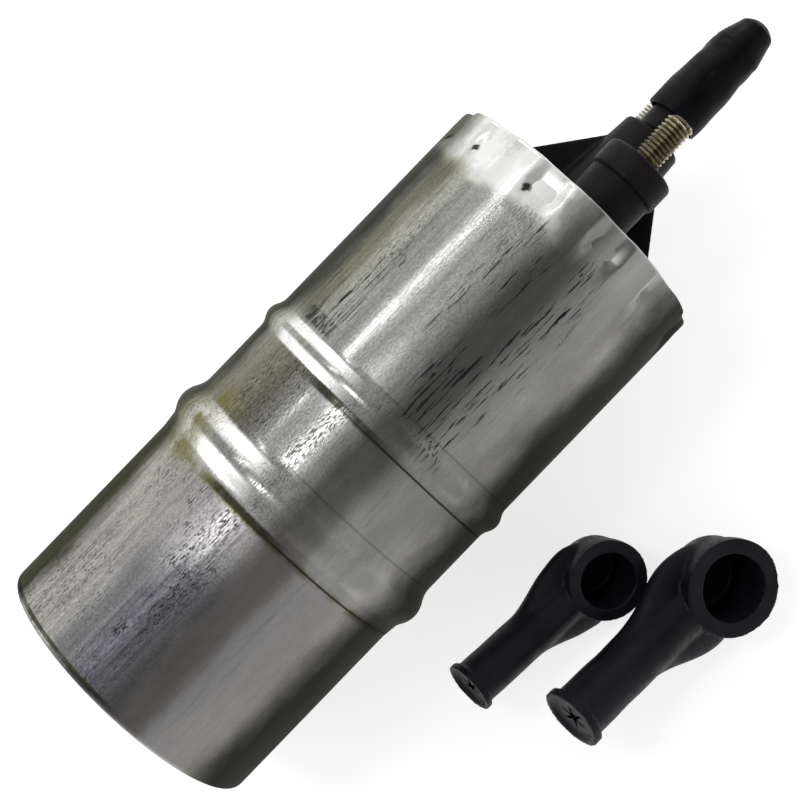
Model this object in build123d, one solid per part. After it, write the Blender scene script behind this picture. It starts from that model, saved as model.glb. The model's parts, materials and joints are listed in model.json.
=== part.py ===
from build123d import *

import os
from math import asin, atan2, cos, degrees, pi, radians, sin, sqrt

# Electric fuel pump of the in-tank kind, with the cap on its outlet and two rubber terminal boots.
# It lies on its side. X runs along the pump's axis towards the outlet, Z is up and the origin is
# on that axis, in the middle of the plain band of the can that a clamp holds. Lengths are in mm.

# Can: drawn aluminium, rolled in over the inlet cover and staked over the end cover
can_diameter = 52.0
can_length = 110.3
can_wall = 1.0
inlet_corner = 2.2
inlet_lip_width = 3.4
outlet_corner = 1.5
outlet_lip_width = 1.8
lip_thickness = 1.0
bead_1_from_inlet = 42.3
bead_1_width = 10.0
bead_1_height = 1.5
bead_2_from_inlet = 62.9
bead_2_width = 6.4
bead_2_height = 0.95
stake_count = 12
stake_length = 6.2
stake_width = 8.0
stake_depth = 1.0
stake_side_wall = 0.45

# Inlet cover: die-cast, with a recessed spigot that takes the strainer
inlet_cover_height = 8.0
inlet_cover_rim = 4.0
inlet_floor_from_lip = 3.0
inlet_floor = 2.5
inlet_bore = 10.0
inlet_spigot_wall = 2.0
inlet_spigot_recess = 0.6
inlet_rib_count = 6
inlet_rib_thickness = 1.6
inlet_rib_height = 1.5
inlet_seal_from_plate = 2.4

# Pump stage: a toothed rotor that runs inside a lobed ring, between two ported plates
inlet_plate = 4.0
stage_width = 8.0
outlet_plate = 5.0
outlet_plate_hub = 5.0
hub_radius = 7.0
hub_foot_radius = 9.5
rotor_teeth = 6
rotors_from_can = 11.0
lobe_circle_ratio = 0.8
lobe_ratio = 0.2
rotor_offset_ratio = 0.08
rotor_face_gap = 0.05
port_circle_ratio = 0.66
port_width = 2.8
port_sweep = 132.0
shaft_pocket = 1.5
shaft_pocket_radius = 3.0
coupling_radius = 4.0
dog_reach = 5.7
dog_width = 2.4
stage_screws = 3
stage_screws_from_can = 5.5
screw_radius = 1.5
screw_head_radius = 2.7
screw_head_height = 2.0
screw_socket = 2.5
screw_socket_depth = 1.2
screw_blind_end = 1.0
screw_end_gap = 0.5

# Relief valve beside the rotors, at the top
relief_from_can = 7.0
relief_ball_radius = 2.4
relief_hole_radius = 1.7
relief_bore_radius = 2.6
relief_plug_height = 2.0
relief_plug_hole = 1.0
relief_wire = 0.45

# Motor
pole_ring_wall = 2.3
magnet_thickness = 5.6
magnet_span = 132.0
magnet_from_stage = 11.0
magnet_from_holder = 8.0
clip_sheet = 0.8
clip_depth = 4.6
clip_side_angle = 0.5
clip_end_gap = 2.0
air_gap = 0.4
core_from_magnet_end = 5.0
core_slots = 8
slot_opening = 1.8
tooth_tip = 1.4
slot_floor_radius = 8.5
tooth_width = 3.1
winding_overhang = 4.4
winding_inner_radius = 6.6
winding_slot_gap = 0.2
winding_edge = 1.5
winding_shoulder = 2.5
shaft_radius = 2.5
shaft_flat = 0.6
shaft_past_bush = 1.0
bush_wall = 2.0
front_bush_length = 9.0
rear_bush_length = 8.0
commutator_radius = 11.0
commutator_inner_radius = 4.6
commutator_base = 3.5
commutator_copper = 1.5
commutator_neck = 2.0
commutator_slot = 0.6
washer_thickness = 0.8
washer_radius = 4.2

# Brush holder and what it carries
holder_flange = 5.0
holder_top_gap = 1.0
commutator_gap = 1.0
brush_width = 4.0
brush_depth = 5.0
brush_length = 6.5
brush_from_axis = 7.75
brush_roof = 1.0
brush_spring_radius = 1.6
brush_spring_wire = 0.4
choke_radius = 3.0
choke_length = 8.6
chokes_from_can = 9.0
choke_angle = 138.0
choke_rim = 1.0
choke_coil_recess = 0.6
choke_end_gap = 0.5
choke_pin_radius = 0.6
strip_thickness = 0.8
strip_width = 5.0
strip_eye_wall = 1.6
passages_from_can = 10.5
passage_width = 4.0
passage_sweep = 70.0
shaft_well = 1.5
shaft_well_gap = 0.2

# End cover: one black moulding with the tower, two terminal bosses, two gussets and the spigot
cover_plate = 6.2
cover_skirt = 7.0
cover_skirt_wall = 3.0
tower_base_radius = 7.2
tower_top_radius = 5.7
tower_height = 20.0
tower_chamfer_height = 1.1
neck_radius = 3.75
spigot_length = 20.7
barb_radius = 4.15
barb_root_radius = 3.3
barb_land = 1.4
barb_length = 4.6
barb_count = 3
neck_length = 6.6
spigot_tip_radius = 2.9
outlet_bore = 4.4
gusset_reach = 17.3
gusset_slope = 0.742
gusset_thickness = 2.0
large_stud_place = (-1.7, 12.5)
small_stud_place = (3.2, -12.2)
boss_height = 13.1
boss_lip_height = 4.9
boss_lip_step = 0.5
boss_edge = 0.8
m5_boss_radius = 6.5
m4_boss_radius = 5.5
m5_radius = 2.5
m4_radius = 2.0
large_stud_reach = 9.7
small_stud_reach = 14.7
stud_tip_chamfer = 0.6
stud_shank_step = 0.4
stud_collar_step = 1.0
stud_collar_height = 2.0
stud_collar_from_cover = 4.0

# Check valve in the tower
valve_bore = 8.4
valve_chamber = 17.0
valve_seat_height = 3.6
valve_seat_from_cover = 1.0
valve_hole = 4.0
valve_cone = 1.6
poppet_gap = 0.1
poppet_head = 1.9
poppet_stem_radius = 1.5
poppet_stem = 3.4
valve_wire = 0.5
valve_spring_gap = 0.5

# Seals
seal_radius = 0.9
seal_groove_gap = 0.1

# Outlet cap: a soft hood pushed over the spigot
cap_from_neck = 3.5
cap_mouth_radius = 5.1
cap_bulge_radius = 5.3
cap_waist_radius = 4.9
cap_shoulder_radius = 4.8
cap_tip_radius = 3.5
cap_length = 23.0
cap_bulge_from_mouth = 5.0
cap_waist_from_mouth = 11.0
cap_shoulder_from_mouth = 16.4
cap_tip_height = 1.6
cap_end_wall = 4.2
cap_bore_end_radius = 2.8
cap_bore_taper = 3.0

# Boots: a short barrel that grips a terminal boss, with a leg for the wire
boot_bore = 12.4
boot_collar = 18.4
boot_collar_height = 3.0
boot_barrel = 16.4
boot_mouth_from_leg = 7.6
boot_back_from_leg = 7.3
boot_back_round = 6.8
boot_floor = 2.6
boot_leg_length = 39.2
boot_leg_end = 10.5
boot_flange = 12.2
boot_flange_height = 1.8
boot_wire_bore = 4.6
boot_wire_hole = 1.8
boot_end_wall = 1.2
boot_lean = 12.0
small_boot_ratio = 0.84

# The web beside the leg: distance from the barrel's axis, half width and half height
boot_flare = (
    (-4.0, 6.4, 2.7),
    (0.0, 8.6, 2.9),
    (6.0, 10.1, 3.0),
    (12.0, 8.8, 3.3),
    (18.0, 6.4, 3.7),
)
boot_flare_end = 25.0

# Where the boots lie: ring centre, then the heading, roll and pitch of each in degrees
large_boot_place = (-0.7, -66.9)
large_boot_turn = (-13.0, 14.5, 11.0)
small_boot_place = (-15.4, -50.2)
small_boot_turn = (-12.8, 17.0, 8.0)

# Clearances
can_gap = 0.1
shaft_gap = 0.02
rotor_gap = 0.08
slide_gap = 0.05
notch_gap = 0.1
cap_gap = 0.1
brush_face_gap = 0.05
overlap = 1.0

# Radii and stations worked out from the sizes above
can_radius = can_diameter / 2
can_bore = can_radius - can_wall
inner_radius = can_bore - can_gap
bush_radius = shaft_radius + bush_wall
magnet_outer = inner_radius - pole_ring_wall
magnet_inner = magnet_outer - magnet_thickness
core_radius = magnet_inner - air_gap
outer_rotor_radius = can_radius - rotors_from_can
lobe_circle = lobe_circle_ratio * outer_rotor_radius
lobe_radius = lobe_ratio * outer_rotor_radius
rotor_offset = rotor_offset_ratio * outer_rotor_radius
port_circle = port_circle_ratio * outer_rotor_radius
stage_screw_circle = can_radius - stage_screws_from_can
relief_from_axis = can_radius - relief_from_can
choke_from_axis = can_radius - chokes_from_can
passage_circle = can_radius - passages_from_can

band_start = bead_2_from_inlet + bead_2_width / 2
band_end = can_length - stake_length
inlet_end = -(band_start + band_end) / 2
outlet_end = inlet_end + can_length
x_inlet_cover = inlet_end + lip_thickness
x_inlet_plate = x_inlet_cover + inlet_cover_height
x_stage = x_inlet_plate + inlet_plate
x_outlet_plate = x_stage + stage_width
x_pole_ring = x_outlet_plate + outlet_plate
x_cover_top = outlet_end - lip_thickness - notch_gap
x_cover = x_cover_top - cover_plate
x_skirt = x_cover - cover_skirt
x_holder = x_skirt - holder_flange
x_holder_top = x_cover - holder_top_gap
x_commutator = x_holder - commutator_gap
x_magnet_start = x_pole_ring + magnet_from_stage
magnet_length = x_holder - magnet_from_holder - x_magnet_start
core_length = magnet_length - 2 * core_from_magnet_end
x_core = x_magnet_start + core_from_magnet_end
x_spigot = x_cover_top + tower_height + tower_chamfer_height
x_spigot_tip = x_spigot + spigot_length
x_boss_top = x_cover_top + boss_height
stud_places = (large_stud_place, small_stud_place)
x_cap = x_spigot + cap_from_neck
x_valve_seat = x_cover + valve_seat_from_cover
x_inlet_seal = x_inlet_plate - inlet_seal_from_plate
x_cover_seal = x_skirt + cover_skirt / 2
floor = -(can_radius + bead_1_height)


def face_between(*edges):
    """The flat face that a closed chain of edges bounds."""
    return make_face(Curve() + list(edges))


def turned(*outline):
    """A solid turned about the pump's axis from points of station and radius."""
    return revolve(make_face(Polyline(*outline, close=True)), Axis.X)


def rod(start, end, radius, y=0.0, z=0.0):
    """A round bar along X."""
    bar = Cylinder(radius, end - start, align=(Align.CENTER, Align.CENTER, Align.MIN))
    return Pos(start, y, z) * Rot(0, 90, 0) * bar


def tube(start, end, outer, inner, y=0.0, z=0.0):
    """A round tube along X."""
    return rod(start, end, outer, y, z) - rod(start, end, inner, y, z)


def across(start, end, sketch):
    """A prism along X over a sketch whose axes are Y and Z."""
    return extrude(Plane.YZ.offset(start) * sketch, end - start)


def wedge(middle, sweep, reach):
    """A flat triangle from the axis, for cutting arcs out of rings."""
    half = radians(sweep / 2)
    far = reach / cos(half)
    turn = radians(middle)
    corners = [(0, 0)] + [(far * cos(turn + side), far * sin(turn + side)) for side in (-half, half)]
    return make_face(Polyline(*corners, close=True))


def on_circle(radius, angle):
    """Y and Z at an angle from Y towards Z."""
    return radius * cos(radians(angle)), radius * sin(radians(angle))


def bead(middle, width, height, radius):
    """The edges of one pressed bead: a crown between two hollow shoulders of the same radius."""
    bend = ((width / 4) ** 2 + (height / 2) ** 2) / height
    sweep = degrees(asin(width / 4 / bend))
    return [
        corner((middle - width / 2, radius + bend), bend, -90, sweep - 90),
        corner((middle, radius + height - bend), bend, 90 + sweep, 90 - sweep),
        corner((middle + width / 2, radius + bend), bend, -90 - sweep, -90),
    ]


def can_wall_line(start, end, radius):
    """One side of the can's wall, with both beads in it."""
    edges, last = [], start
    beads = (
        (bead_1_from_inlet, bead_1_width, bead_1_height),
        (bead_2_from_inlet, bead_2_width, bead_2_height),
    )
    for from_inlet, width, height in beads:
        middle = inlet_end + from_inlet
        edges.append(Line((last, radius), (middle - width / 2, radius)))
        edges += bead(middle, width, height, radius)
        last = middle + width / 2
    edges.append(Line((last, radius), (end, radius)))
    return edges


def corner(centre, radius, start_angle, end_angle):
    """A round corner between two angles about its centre."""
    at = [radians(a) for a in (start_angle, (start_angle + end_angle) / 2, end_angle)]
    return ThreePointArc(*[(centre[0] + radius * cos(a), centre[1] + radius * sin(a)) for a in at])


def make_can():
    inlet_lip, outlet_lip = can_radius - inlet_lip_width, can_radius - outlet_lip_width
    outside = can_wall_line(inlet_end + inlet_corner, outlet_end - outlet_corner, can_radius)
    inside = can_wall_line(x_inlet_cover, outlet_end - lip_thickness, can_bore)
    ends = [
        corner((inlet_end + inlet_corner, can_radius - inlet_corner), inlet_corner, 180, 90),
        corner((outlet_end - outlet_corner, can_radius - outlet_corner), outlet_corner, 90, 0),
        Polyline(
            (inlet_end, can_radius - inlet_corner),
            (inlet_end, inlet_lip),
            (x_inlet_cover, inlet_lip),
            (x_inlet_cover, can_bore),
        ),
        Polyline(
            (outlet_end, can_radius - outlet_corner),
            (outlet_end, outlet_lip),
            (outlet_end - lip_thickness, outlet_lip),
            (outlet_end - lip_thickness, can_bore),
        ),
    ]
    can = revolve(face_between(*outside, *inside, *ends), Axis.X)
    floor_low = can_bore - stake_depth
    floor_high = floor_low + can_wall
    block = Box(stake_length + can_wall, stake_width, can_wall + stake_depth / 2)
    pocket = Box(2 * stake_length, stake_width - 2 * stake_side_wall, 2 * can_wall + stake_depth)
    for turn in stake_angles():
        block_middle = (outlet_end - (stake_length + can_wall) / 2, 0)
        can += Rot(turn, 0, 0) * Pos(*block_middle, floor_low + (can_wall + stake_depth / 2) / 2) * block
    for turn in stake_angles():
        can -= Rot(turn, 0, 0) * Pos(outlet_end, 0, floor_high + can_wall + stake_depth / 2) * pocket
    return can


def stake_angles():
    """The turns about X of the stakes, with a tab between two of them at the top."""
    return [360 / stake_count * (i + 0.5) for i in range(stake_count)]


def seal(station, outer):
    """An O-ring that fills its groove out to the can."""
    return Pos(station, 0, 0) * Rot(0, 90, 0) * Torus(outer - seal_radius, seal_radius)


def seal_groove(station):
    """What the groove of an O-ring takes out of a cover."""
    half = seal_radius + seal_groove_gap
    return tube(station - half, station + half, can_radius, can_bore - 2 * seal_radius - seal_groove_gap)


def make_inlet_cover():
    floor_start = x_inlet_cover + inlet_floor_from_lip
    floor_end = floor_start + inlet_floor
    spigot = inlet_bore / 2 + inlet_spigot_wall
    rim = inner_radius - inlet_cover_rim
    cover = tube(x_inlet_cover, x_inlet_plate, inner_radius, rim)
    cover += tube(floor_start, floor_end, rim + 0.5 * inlet_cover_rim, inlet_bore / 2)
    cover += tube(inlet_end + inlet_spigot_recess, floor_end, spigot, inlet_bore / 2)
    rib_middle, rib_length = (rim + spigot) / 2, rim - spigot + inlet_spigot_wall
    rib = Box(inlet_rib_height, rib_length, inlet_rib_thickness)
    for i in range(inlet_rib_count):
        place = Pos(floor_start - inlet_rib_height / 2, rib_middle, 0)
        cover += Rot(360 / inlet_rib_count * (i + 0.5), 0, 0) * place * rib
    return cover - seal_groove(x_inlet_seal)


def screw_places():
    """Y and Z of the stage screws, one straight down."""
    return [on_circle(stage_screw_circle, 360 / stage_screws * i - 90) for i in range(stage_screws)]


def port(side, start, end):
    """A kidney port through a plate, on one side of the line of the two rotor centres."""
    middle = 0 if side > 0 else 180
    arc = CenterArc((0, -rotor_offset / 2), port_circle, middle - port_sweep / 2, port_sweep)
    return across(start, end, SlotArc(arc, port_width))


def make_inlet_plate():
    plate = rod(x_inlet_plate, x_stage, inner_radius)
    plate -= port(1, x_inlet_plate, x_stage)
    plate -= rod(x_stage - shaft_pocket, x_stage, shaft_pocket_radius)
    plate -= rod(x_inlet_plate, x_stage, relief_bore_radius, 0, relief_from_axis)
    for y, z in screw_places():
        plate -= rod(x_inlet_plate, x_inlet_plate + screw_head_height, screw_head_radius + slide_gap, y, z)
        plate -= rod(x_inlet_plate, x_stage, screw_radius + slide_gap, y, z)
    return plate


def make_stage_ring():
    ring = rod(x_stage, x_outlet_plate, inner_radius)
    ring -= rod(x_stage, x_outlet_plate, outer_rotor_radius + rotor_gap, 0, -rotor_offset)
    ring -= rod(x_stage, x_outlet_plate, relief_bore_radius, 0, relief_from_axis)
    for y, z in screw_places():
        ring -= rod(x_stage, x_outlet_plate, screw_radius + slide_gap, y, z)
    return ring


def make_outlet_plate():
    hub_end = x_pole_ring + outlet_plate_hub
    plate = rod(x_outlet_plate, x_pole_ring, inner_radius)
    plate += turned(
        (x_pole_ring - overlap, 0),
        (x_pole_ring - overlap, hub_foot_radius),
        (x_pole_ring, hub_foot_radius),
        (hub_end, hub_radius),
        (hub_end, 0),
    )
    plate -= rod(x_outlet_plate, hub_end, bush_radius)
    plate -= port(-1, x_outlet_plate, hub_end)
    plate -= rod(x_outlet_plate, x_pole_ring, relief_hole_radius, 0, relief_from_axis)
    for y, z in screw_places():
        plate -= rod(x_outlet_plate, x_pole_ring - screw_blind_end, screw_radius, y, z)
    return plate


def make_inner_rotor():
    """Six rounded teeth, the curve that keeps touching every lobe of the outer rotor."""
    lobes = rotor_teeth + 1
    reach = lobe_radius + rotor_gap
    ratio = lobe_circle / (rotor_offset * lobes)
    steps = 20 * rotor_teeth
    points = []
    for i in range(steps):
        t = 2 * pi * i / steps
        lean = atan2(sin(rotor_teeth * t), cos(rotor_teeth * t) - ratio)
        y = lobe_circle * sin(t) + reach * sin(t + lean) - rotor_offset * sin(lobes * t)
        z = lobe_circle * cos(t) + reach * cos(t + lean) - rotor_offset * cos(lobes * t)
        points.append((y, z))
    profile = make_face(Spline(*points, periodic=True))
    start, end = x_stage + rotor_face_gap, x_outlet_plate - rotor_face_gap
    rotor = across(start, end, profile)
    return rotor - drive_outline(start, end, slide_gap)


def drive_outline(start, end, gap):
    """The coupling's round body with its two driving dogs, grown by a gap."""
    body = rod(start, end, coupling_radius + gap)
    dogs = Box(end - start, 2 * (dog_reach + gap), dog_width + 2 * gap)
    return body + Pos((start + end) / 2, 0, 0) * dogs


def make_outer_rotor():
    """A ring with one lobe more than the inner rotor has teeth."""
    start, end = x_stage + rotor_face_gap, x_outlet_plate - rotor_face_gap
    lobes = rotor_teeth + 1
    root = lobe_circle - lobe_radius + 2 * rotor_offset + rotor_gap
    pocket = Circle(root)
    for i in range(lobes):
        pocket -= Pos(*on_circle(lobe_circle, 360 / lobes * i + 90)) * Circle(lobe_radius)
    ring = Circle(outer_rotor_radius) - pocket
    return Pos(0, 0, -rotor_offset) * across(start, end, ring)


def make_stage_screws():
    """Three socket screws that hold the stage together, heads in the inlet plate."""
    screws = []
    for y, z in screw_places():
        screw = rod(x_inlet_plate, x_inlet_plate + screw_head_height, screw_head_radius, y, z)
        screw += rod(x_inlet_plate, x_pole_ring - screw_blind_end - screw_end_gap, screw_radius, y, z)
        socket = Pos(y, z) * RegularPolygon(screw_socket / 2, 6, major_radius=False)
        screw -= across(x_inlet_plate, x_inlet_plate + screw_socket_depth, socket)
        screws.append(screw)
    return Compound(children=screws)


def relief_centre():
    """Station of the ball's centre when it closes the hole in the outlet plate."""
    return x_outlet_plate - sqrt(relief_ball_radius**2 - relief_hole_radius**2) - slide_gap


def make_relief_ball():
    return Pos(relief_centre(), 0, relief_from_axis) * Sphere(relief_ball_radius)


def make_relief_plug():
    end = x_inlet_plate + relief_plug_height
    return tube(x_inlet_plate, end, relief_bore_radius, relief_plug_hole, 0, relief_from_axis)


def spring(start, end, radius, wire, y=0.0, z=0.0):
    """The space of a compression spring."""
    return tube(start, end, radius + wire / 2, radius - wire / 2, y, z)


def make_relief_spring():
    radius = relief_ball_radius - relief_wire
    top = relief_centre() - sqrt(relief_ball_radius**2 - (radius - relief_wire / 2) ** 2)
    return spring(x_inlet_plate + relief_plug_height, top - slide_gap, radius, relief_wire, 0, relief_from_axis)


def make_shaft():
    start, end = x_stage + 2 * rotor_face_gap, x_holder + rear_bush_length + shaft_past_bush
    shaft = rod(start, end, shaft_radius)
    flat = Box(stage_width, 2 * shaft_radius, 2 * shaft_radius)
    return shaft - Pos(x_stage + stage_width / 2, 0, 2 * shaft_radius - shaft_flat) * flat


def make_coupling():
    start, end = x_stage + 2 * rotor_face_gap, x_outlet_plate - 2 * rotor_face_gap
    bore = rod(start, end, shaft_radius)
    flat = Box(stage_width, 2 * shaft_radius, 2 * shaft_radius)
    bore -= Pos(x_stage + stage_width / 2, 0, 2 * shaft_radius - shaft_flat) * flat
    return drive_outline(start, end, 0) - bore


def slot_shape(gap):
    """One winding slot of the core between two even teeth, at the angle of Y and shrunk by a gap."""
    low, high = slot_floor_radius + gap, core_radius - tooth_tip - gap
    edge = tooth_width / 2 + gap
    floor_half, top_half = [r * sin(pi / core_slots) - edge for r in (low, high)]
    corners = [(low, -floor_half), (high, -top_half), (high, top_half), (low, floor_half)]
    return make_face(Polyline(*corners, close=True))


def make_core():
    """The stack of laminations: eight teeth with their slots open to the air gap."""
    disc = Circle(core_radius) - Circle(shaft_radius)
    mouth = Pos(core_radius, 0) * Rectangle(2 * (tooth_tip + overlap), slot_opening)
    slot = slot_shape(0) + mouth
    for i in range(core_slots):
        disc -= Rot(0, 0, 360 / core_slots * (i + 0.5)) * slot
    return across(x_core, x_core + core_length, disc)


def make_windings():
    """The coils: bars through the slots and a rounded bundle at each end of the core."""
    start, end = x_core, x_core + core_length
    top = core_radius - tooth_tip - winding_slot_gap
    wires = Part()
    for i in range(core_slots):
        bar = Rot(0, 0, 360 / core_slots * (i + 0.5)) * slot_shape(winding_slot_gap)
        wires += across(start - overlap, end + overlap, bar)
    for face, way in ((start, -1), (end, 1)):
        tip = face + way * winding_overhang
        wires += turned(
            (face, winding_inner_radius),
            (tip - way * winding_edge, winding_inner_radius),
            (tip, winding_inner_radius + winding_edge),
            (tip, top - winding_shoulder),
            (tip - way * winding_edge, top - winding_edge / 2),
            (face, top),
        )
    return wires


def make_commutator_hub():
    copper = x_commutator - commutator_copper
    base = copper - commutator_base
    neck = base - commutator_neck
    return turned(
        (neck, shaft_radius),
        (neck, commutator_radius / 2),
        (base, commutator_radius / 2),
        (base, commutator_radius),
        (copper, commutator_radius),
        (copper, commutator_inner_radius),
        (x_commutator, commutator_inner_radius),
        (x_commutator, shaft_radius),
    )


def make_commutator_segments():
    """Flat copper sectors that the brushes press on."""
    ring = Circle(commutator_radius) - Circle(commutator_inner_radius)
    gap = Pos(commutator_radius / 2, 0) * Rectangle(commutator_radius, commutator_slot)
    for i in range(core_slots):
        ring -= Rot(0, 0, 360 / core_slots * i) * gap
    return across(x_commutator - commutator_copper, x_commutator, ring)


def make_washer():
    return tube(x_commutator, x_commutator + washer_thickness, washer_radius, shaft_radius)


def make_pole_ring():
    return tube(x_pole_ring, x_holder, inner_radius, magnet_outer)


def make_magnet(side):
    ring = Circle(magnet_outer) - Circle(magnet_inner)
    arc = ring & wedge(0 if side > 0 else 180, magnet_span, can_radius)
    return across(x_magnet_start, x_magnet_start + magnet_length, arc)


def make_magnet_clips():
    """Two bent springs that push the magnets apart, one in each gap between them."""
    gap = 180 - magnet_span
    ring = Circle(magnet_outer) - Circle(magnet_outer - clip_depth)
    inner = Circle(magnet_outer - clip_sheet)
    lean = degrees(clip_sheet / magnet_outer)
    start = x_magnet_start + clip_end_gap
    clips = []
    for middle in (90, 270):
        outline = ring & wedge(middle, gap - clip_side_angle, can_radius)
        hollow = inner & wedge(middle, gap - clip_side_angle - 2 * lean, can_radius)
        clips.append(across(start, start + magnet_length - 2 * clip_end_gap, outline - hollow))
    return Compound(children=clips)


def make_front_bush():
    end = x_pole_ring + outlet_plate_hub
    return tube(end - front_bush_length, end, bush_radius, shaft_radius + shaft_gap)


def make_rear_bush():
    return tube(x_holder, x_holder + rear_bush_length, bush_radius, shaft_radius + shaft_gap)


def choke_places():
    """Y and Z of the two chokes, each beside its own stud."""
    return [on_circle(choke_from_axis, choke_angle), on_circle(choke_from_axis, choke_angle + 180)]


def make_brush_holder():
    body = rod(x_holder, x_skirt, inner_radius)
    body += rod(x_skirt - overlap, x_holder_top, inner_radius - cover_skirt_wall - can_gap)
    body -= rod(x_holder, x_holder + rear_bush_length, bush_radius)
    body -= rod(x_holder, x_holder + rear_bush_length + shaft_well, shaft_radius + shaft_well_gap)
    pocket_end = x_holder_top - brush_roof
    pocket = Box(pocket_end - x_holder, brush_depth + 2 * slide_gap, brush_width + 2 * slide_gap)
    for side in (-1, 1):
        body -= Pos((x_holder + pocket_end) / 2, side * brush_from_axis, 0) * pocket
    for y, z in choke_places():
        body -= rod(x_holder_top - choke_length, x_holder_top, choke_radius + slide_gap, y, z)
    for middle in (choke_angle - 90, choke_angle + 90):
        arc = CenterArc((0, 0), passage_circle, middle - passage_sweep / 2, passage_sweep)
        body -= across(x_holder, x_holder_top, SlotArc(arc, passage_width))
    return body


def make_brush(side):
    start = x_commutator + brush_face_gap
    block = Box(brush_length, brush_depth, brush_width)
    return Pos(start + brush_length / 2, side * brush_from_axis, 0) * block


def make_brush_spring(side):
    start = x_commutator + brush_face_gap + brush_length
    end = x_holder_top - brush_roof
    return spring(start, end, brush_spring_radius, brush_spring_wire, side * brush_from_axis)


def make_choke(place):
    start = x_holder_top - choke_length
    coil_end = x_holder_top - choke_end_gap
    choke = rod(start, coil_end, choke_radius, *place)
    waist = choke_radius - choke_coil_recess
    choke -= tube(start + choke_rim, coil_end - choke_rim, choke_radius + overlap, waist, *place)
    return choke + rod(coil_end, x_cover - strip_thickness, choke_pin_radius, *place)


def make_strip(stud, radius, choke):
    """A flat strip under the cover, from the foot of a stud to its choke."""
    length = sqrt((choke[0] - stud[0]) ** 2 + (choke[1] - stud[1]) ** 2)
    middle = ((choke[0] + stud[0]) / 2, (choke[1] + stud[1]) / 2)
    turn = degrees(atan2(choke[1] - stud[1], choke[0] - stud[0]))
    shape = Pos(*middle) * Rot(0, 0, turn) * SlotCenterToCenter(length, strip_width)
    hole = radius + stud_shank_step
    shape += Pos(*stud) * Circle(hole + strip_eye_wall)
    return across(x_cover - strip_thickness, x_cover, shape - Pos(*stud) * Circle(hole))


def tower_outline():
    """Half of the tower and its barbed spigot, from the cover's plate to the tip."""
    tower_end = x_cover_top + tower_height
    points = [
        (x_cover, 0),
        (x_cover, tower_base_radius),
        (x_cover_top, tower_base_radius),
        (tower_end, tower_top_radius),
        (x_spigot, neck_radius),
        (x_spigot + neck_length, neck_radius),
    ]
    first = x_spigot + neck_length
    for i in range(barb_count):
        step = first + barb_length * i
        points += [(step, barb_root_radius), (step, barb_radius), (step + barb_land, barb_radius)]
        points.append((step + barb_length, barb_root_radius))
    points += [(x_spigot_tip, spigot_tip_radius), (x_spigot_tip, 0)]
    return [p for i, p in enumerate(points) if i == 0 or p != points[i - 1]]


def make_boss(place, radius):
    """A terminal boss with the lip that a boot snaps over."""
    lip_start = x_boss_top - boss_lip_height
    boss = rod(x_cover, x_boss_top - boss_edge, radius - boss_lip_step, *place)
    lip = rod(lip_start, x_boss_top, radius, *place)
    top = lip.edges().filter_by(GeomType.CIRCLE).sort_by(Axis.X)[-1]
    return boss + fillet(top, boss_edge)


def make_gussets():
    """Two thin ribs that run from the plate up to the tower."""
    foot, drop = gusset_reach, gusset_slope
    top = x_cover_top + (foot - tower_top_radius) / drop
    root = x_cover_top - overlap
    corners = [(root, 0), (root, foot), (x_cover_top, foot), (top, tower_top_radius), (top, 0)]
    rib = extrude(make_face(Polyline(*corners, close=True)), gusset_thickness / 2, both=True)
    return rib + mirror(rib, about=Plane.XZ)


def make_end_cover():
    cover = rod(x_cover, x_cover_top, inner_radius)
    cover += tube(x_skirt, x_cover, inner_radius, inner_radius - cover_skirt_wall)
    cover += turned(*tower_outline())
    cover += make_gussets()
    sizes = (m5_boss_radius, m4_boss_radius)
    for place, radius in zip(stud_places, sizes):
        cover += make_boss(place, radius)
    cover -= seal_groove(x_cover_seal)
    notch = Box(2 * cover_plate, stake_width + 2 * notch_gap, 4 * stake_depth)
    notch_floor = can_bore - stake_depth - notch_gap
    notch_start = outlet_end - stake_length - can_wall - notch_gap
    for turn in stake_angles():
        place = Pos(notch_start + cover_plate, 0, notch_floor + 2 * stake_depth)
        cover -= Rot(turn, 0, 0) * place * notch
    cover -= rod(x_cover, x_cover + valve_chamber, valve_bore / 2)
    cover -= rod(x_cover, x_spigot_tip, outlet_bore / 2)
    for place, radius in zip(stud_places, (m5_radius, m4_radius)):
        cover -= rod(x_cover, x_boss_top, radius + stud_shank_step, *place)
        cover -= stud_collar(place, radius)
    return cover


def stud_collar(place, radius):
    start = x_cover + stud_collar_from_cover
    return rod(start, start + stud_collar_height, radius + stud_collar_step, *place)


def make_stud(place, radius, reach):
    """A terminal stud: a thicker shank and its collar moulded into the boss, then the thread."""
    stud = rod(x_boss_top - overlap, x_boss_top + reach, radius, *place)
    tip = stud.edges().filter_by(GeomType.CIRCLE).sort_by(Axis.X)[-1]
    stud = chamfer(tip, stud_tip_chamfer)
    stud += rod(x_cover - strip_thickness, x_boss_top, radius + stud_shank_step, *place)
    return stud + stud_collar(place, radius)


def make_valve_seat():
    end = x_valve_seat + valve_seat_height
    hole = valve_hole / 2
    return turned(
        (x_valve_seat, hole),
        (x_valve_seat, valve_bore / 2),
        (end, valve_bore / 2),
        (end, hole + valve_cone),
        (end - valve_cone, hole),
    )


def make_poppet():
    """A cone that closes the seat, with a stem inside its spring."""
    end = x_valve_seat + valve_seat_height
    face = valve_hole / 2 + valve_cone - poppet_gap
    nose = end - valve_cone
    return turned(
        (nose, 0),
        (nose, face - valve_cone),
        (end, face),
        (end + poppet_head, face),
        (end + poppet_head, poppet_stem_radius),
        (end + poppet_head + poppet_stem, poppet_stem_radius),
        (end + poppet_head + poppet_stem, 0),
    )


def make_valve_spring():
    start = x_valve_seat + valve_seat_height + poppet_head
    radius = poppet_stem_radius + valve_wire + valve_spring_gap
    return spring(start, x_cover + valve_chamber, radius, valve_wire)


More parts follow.
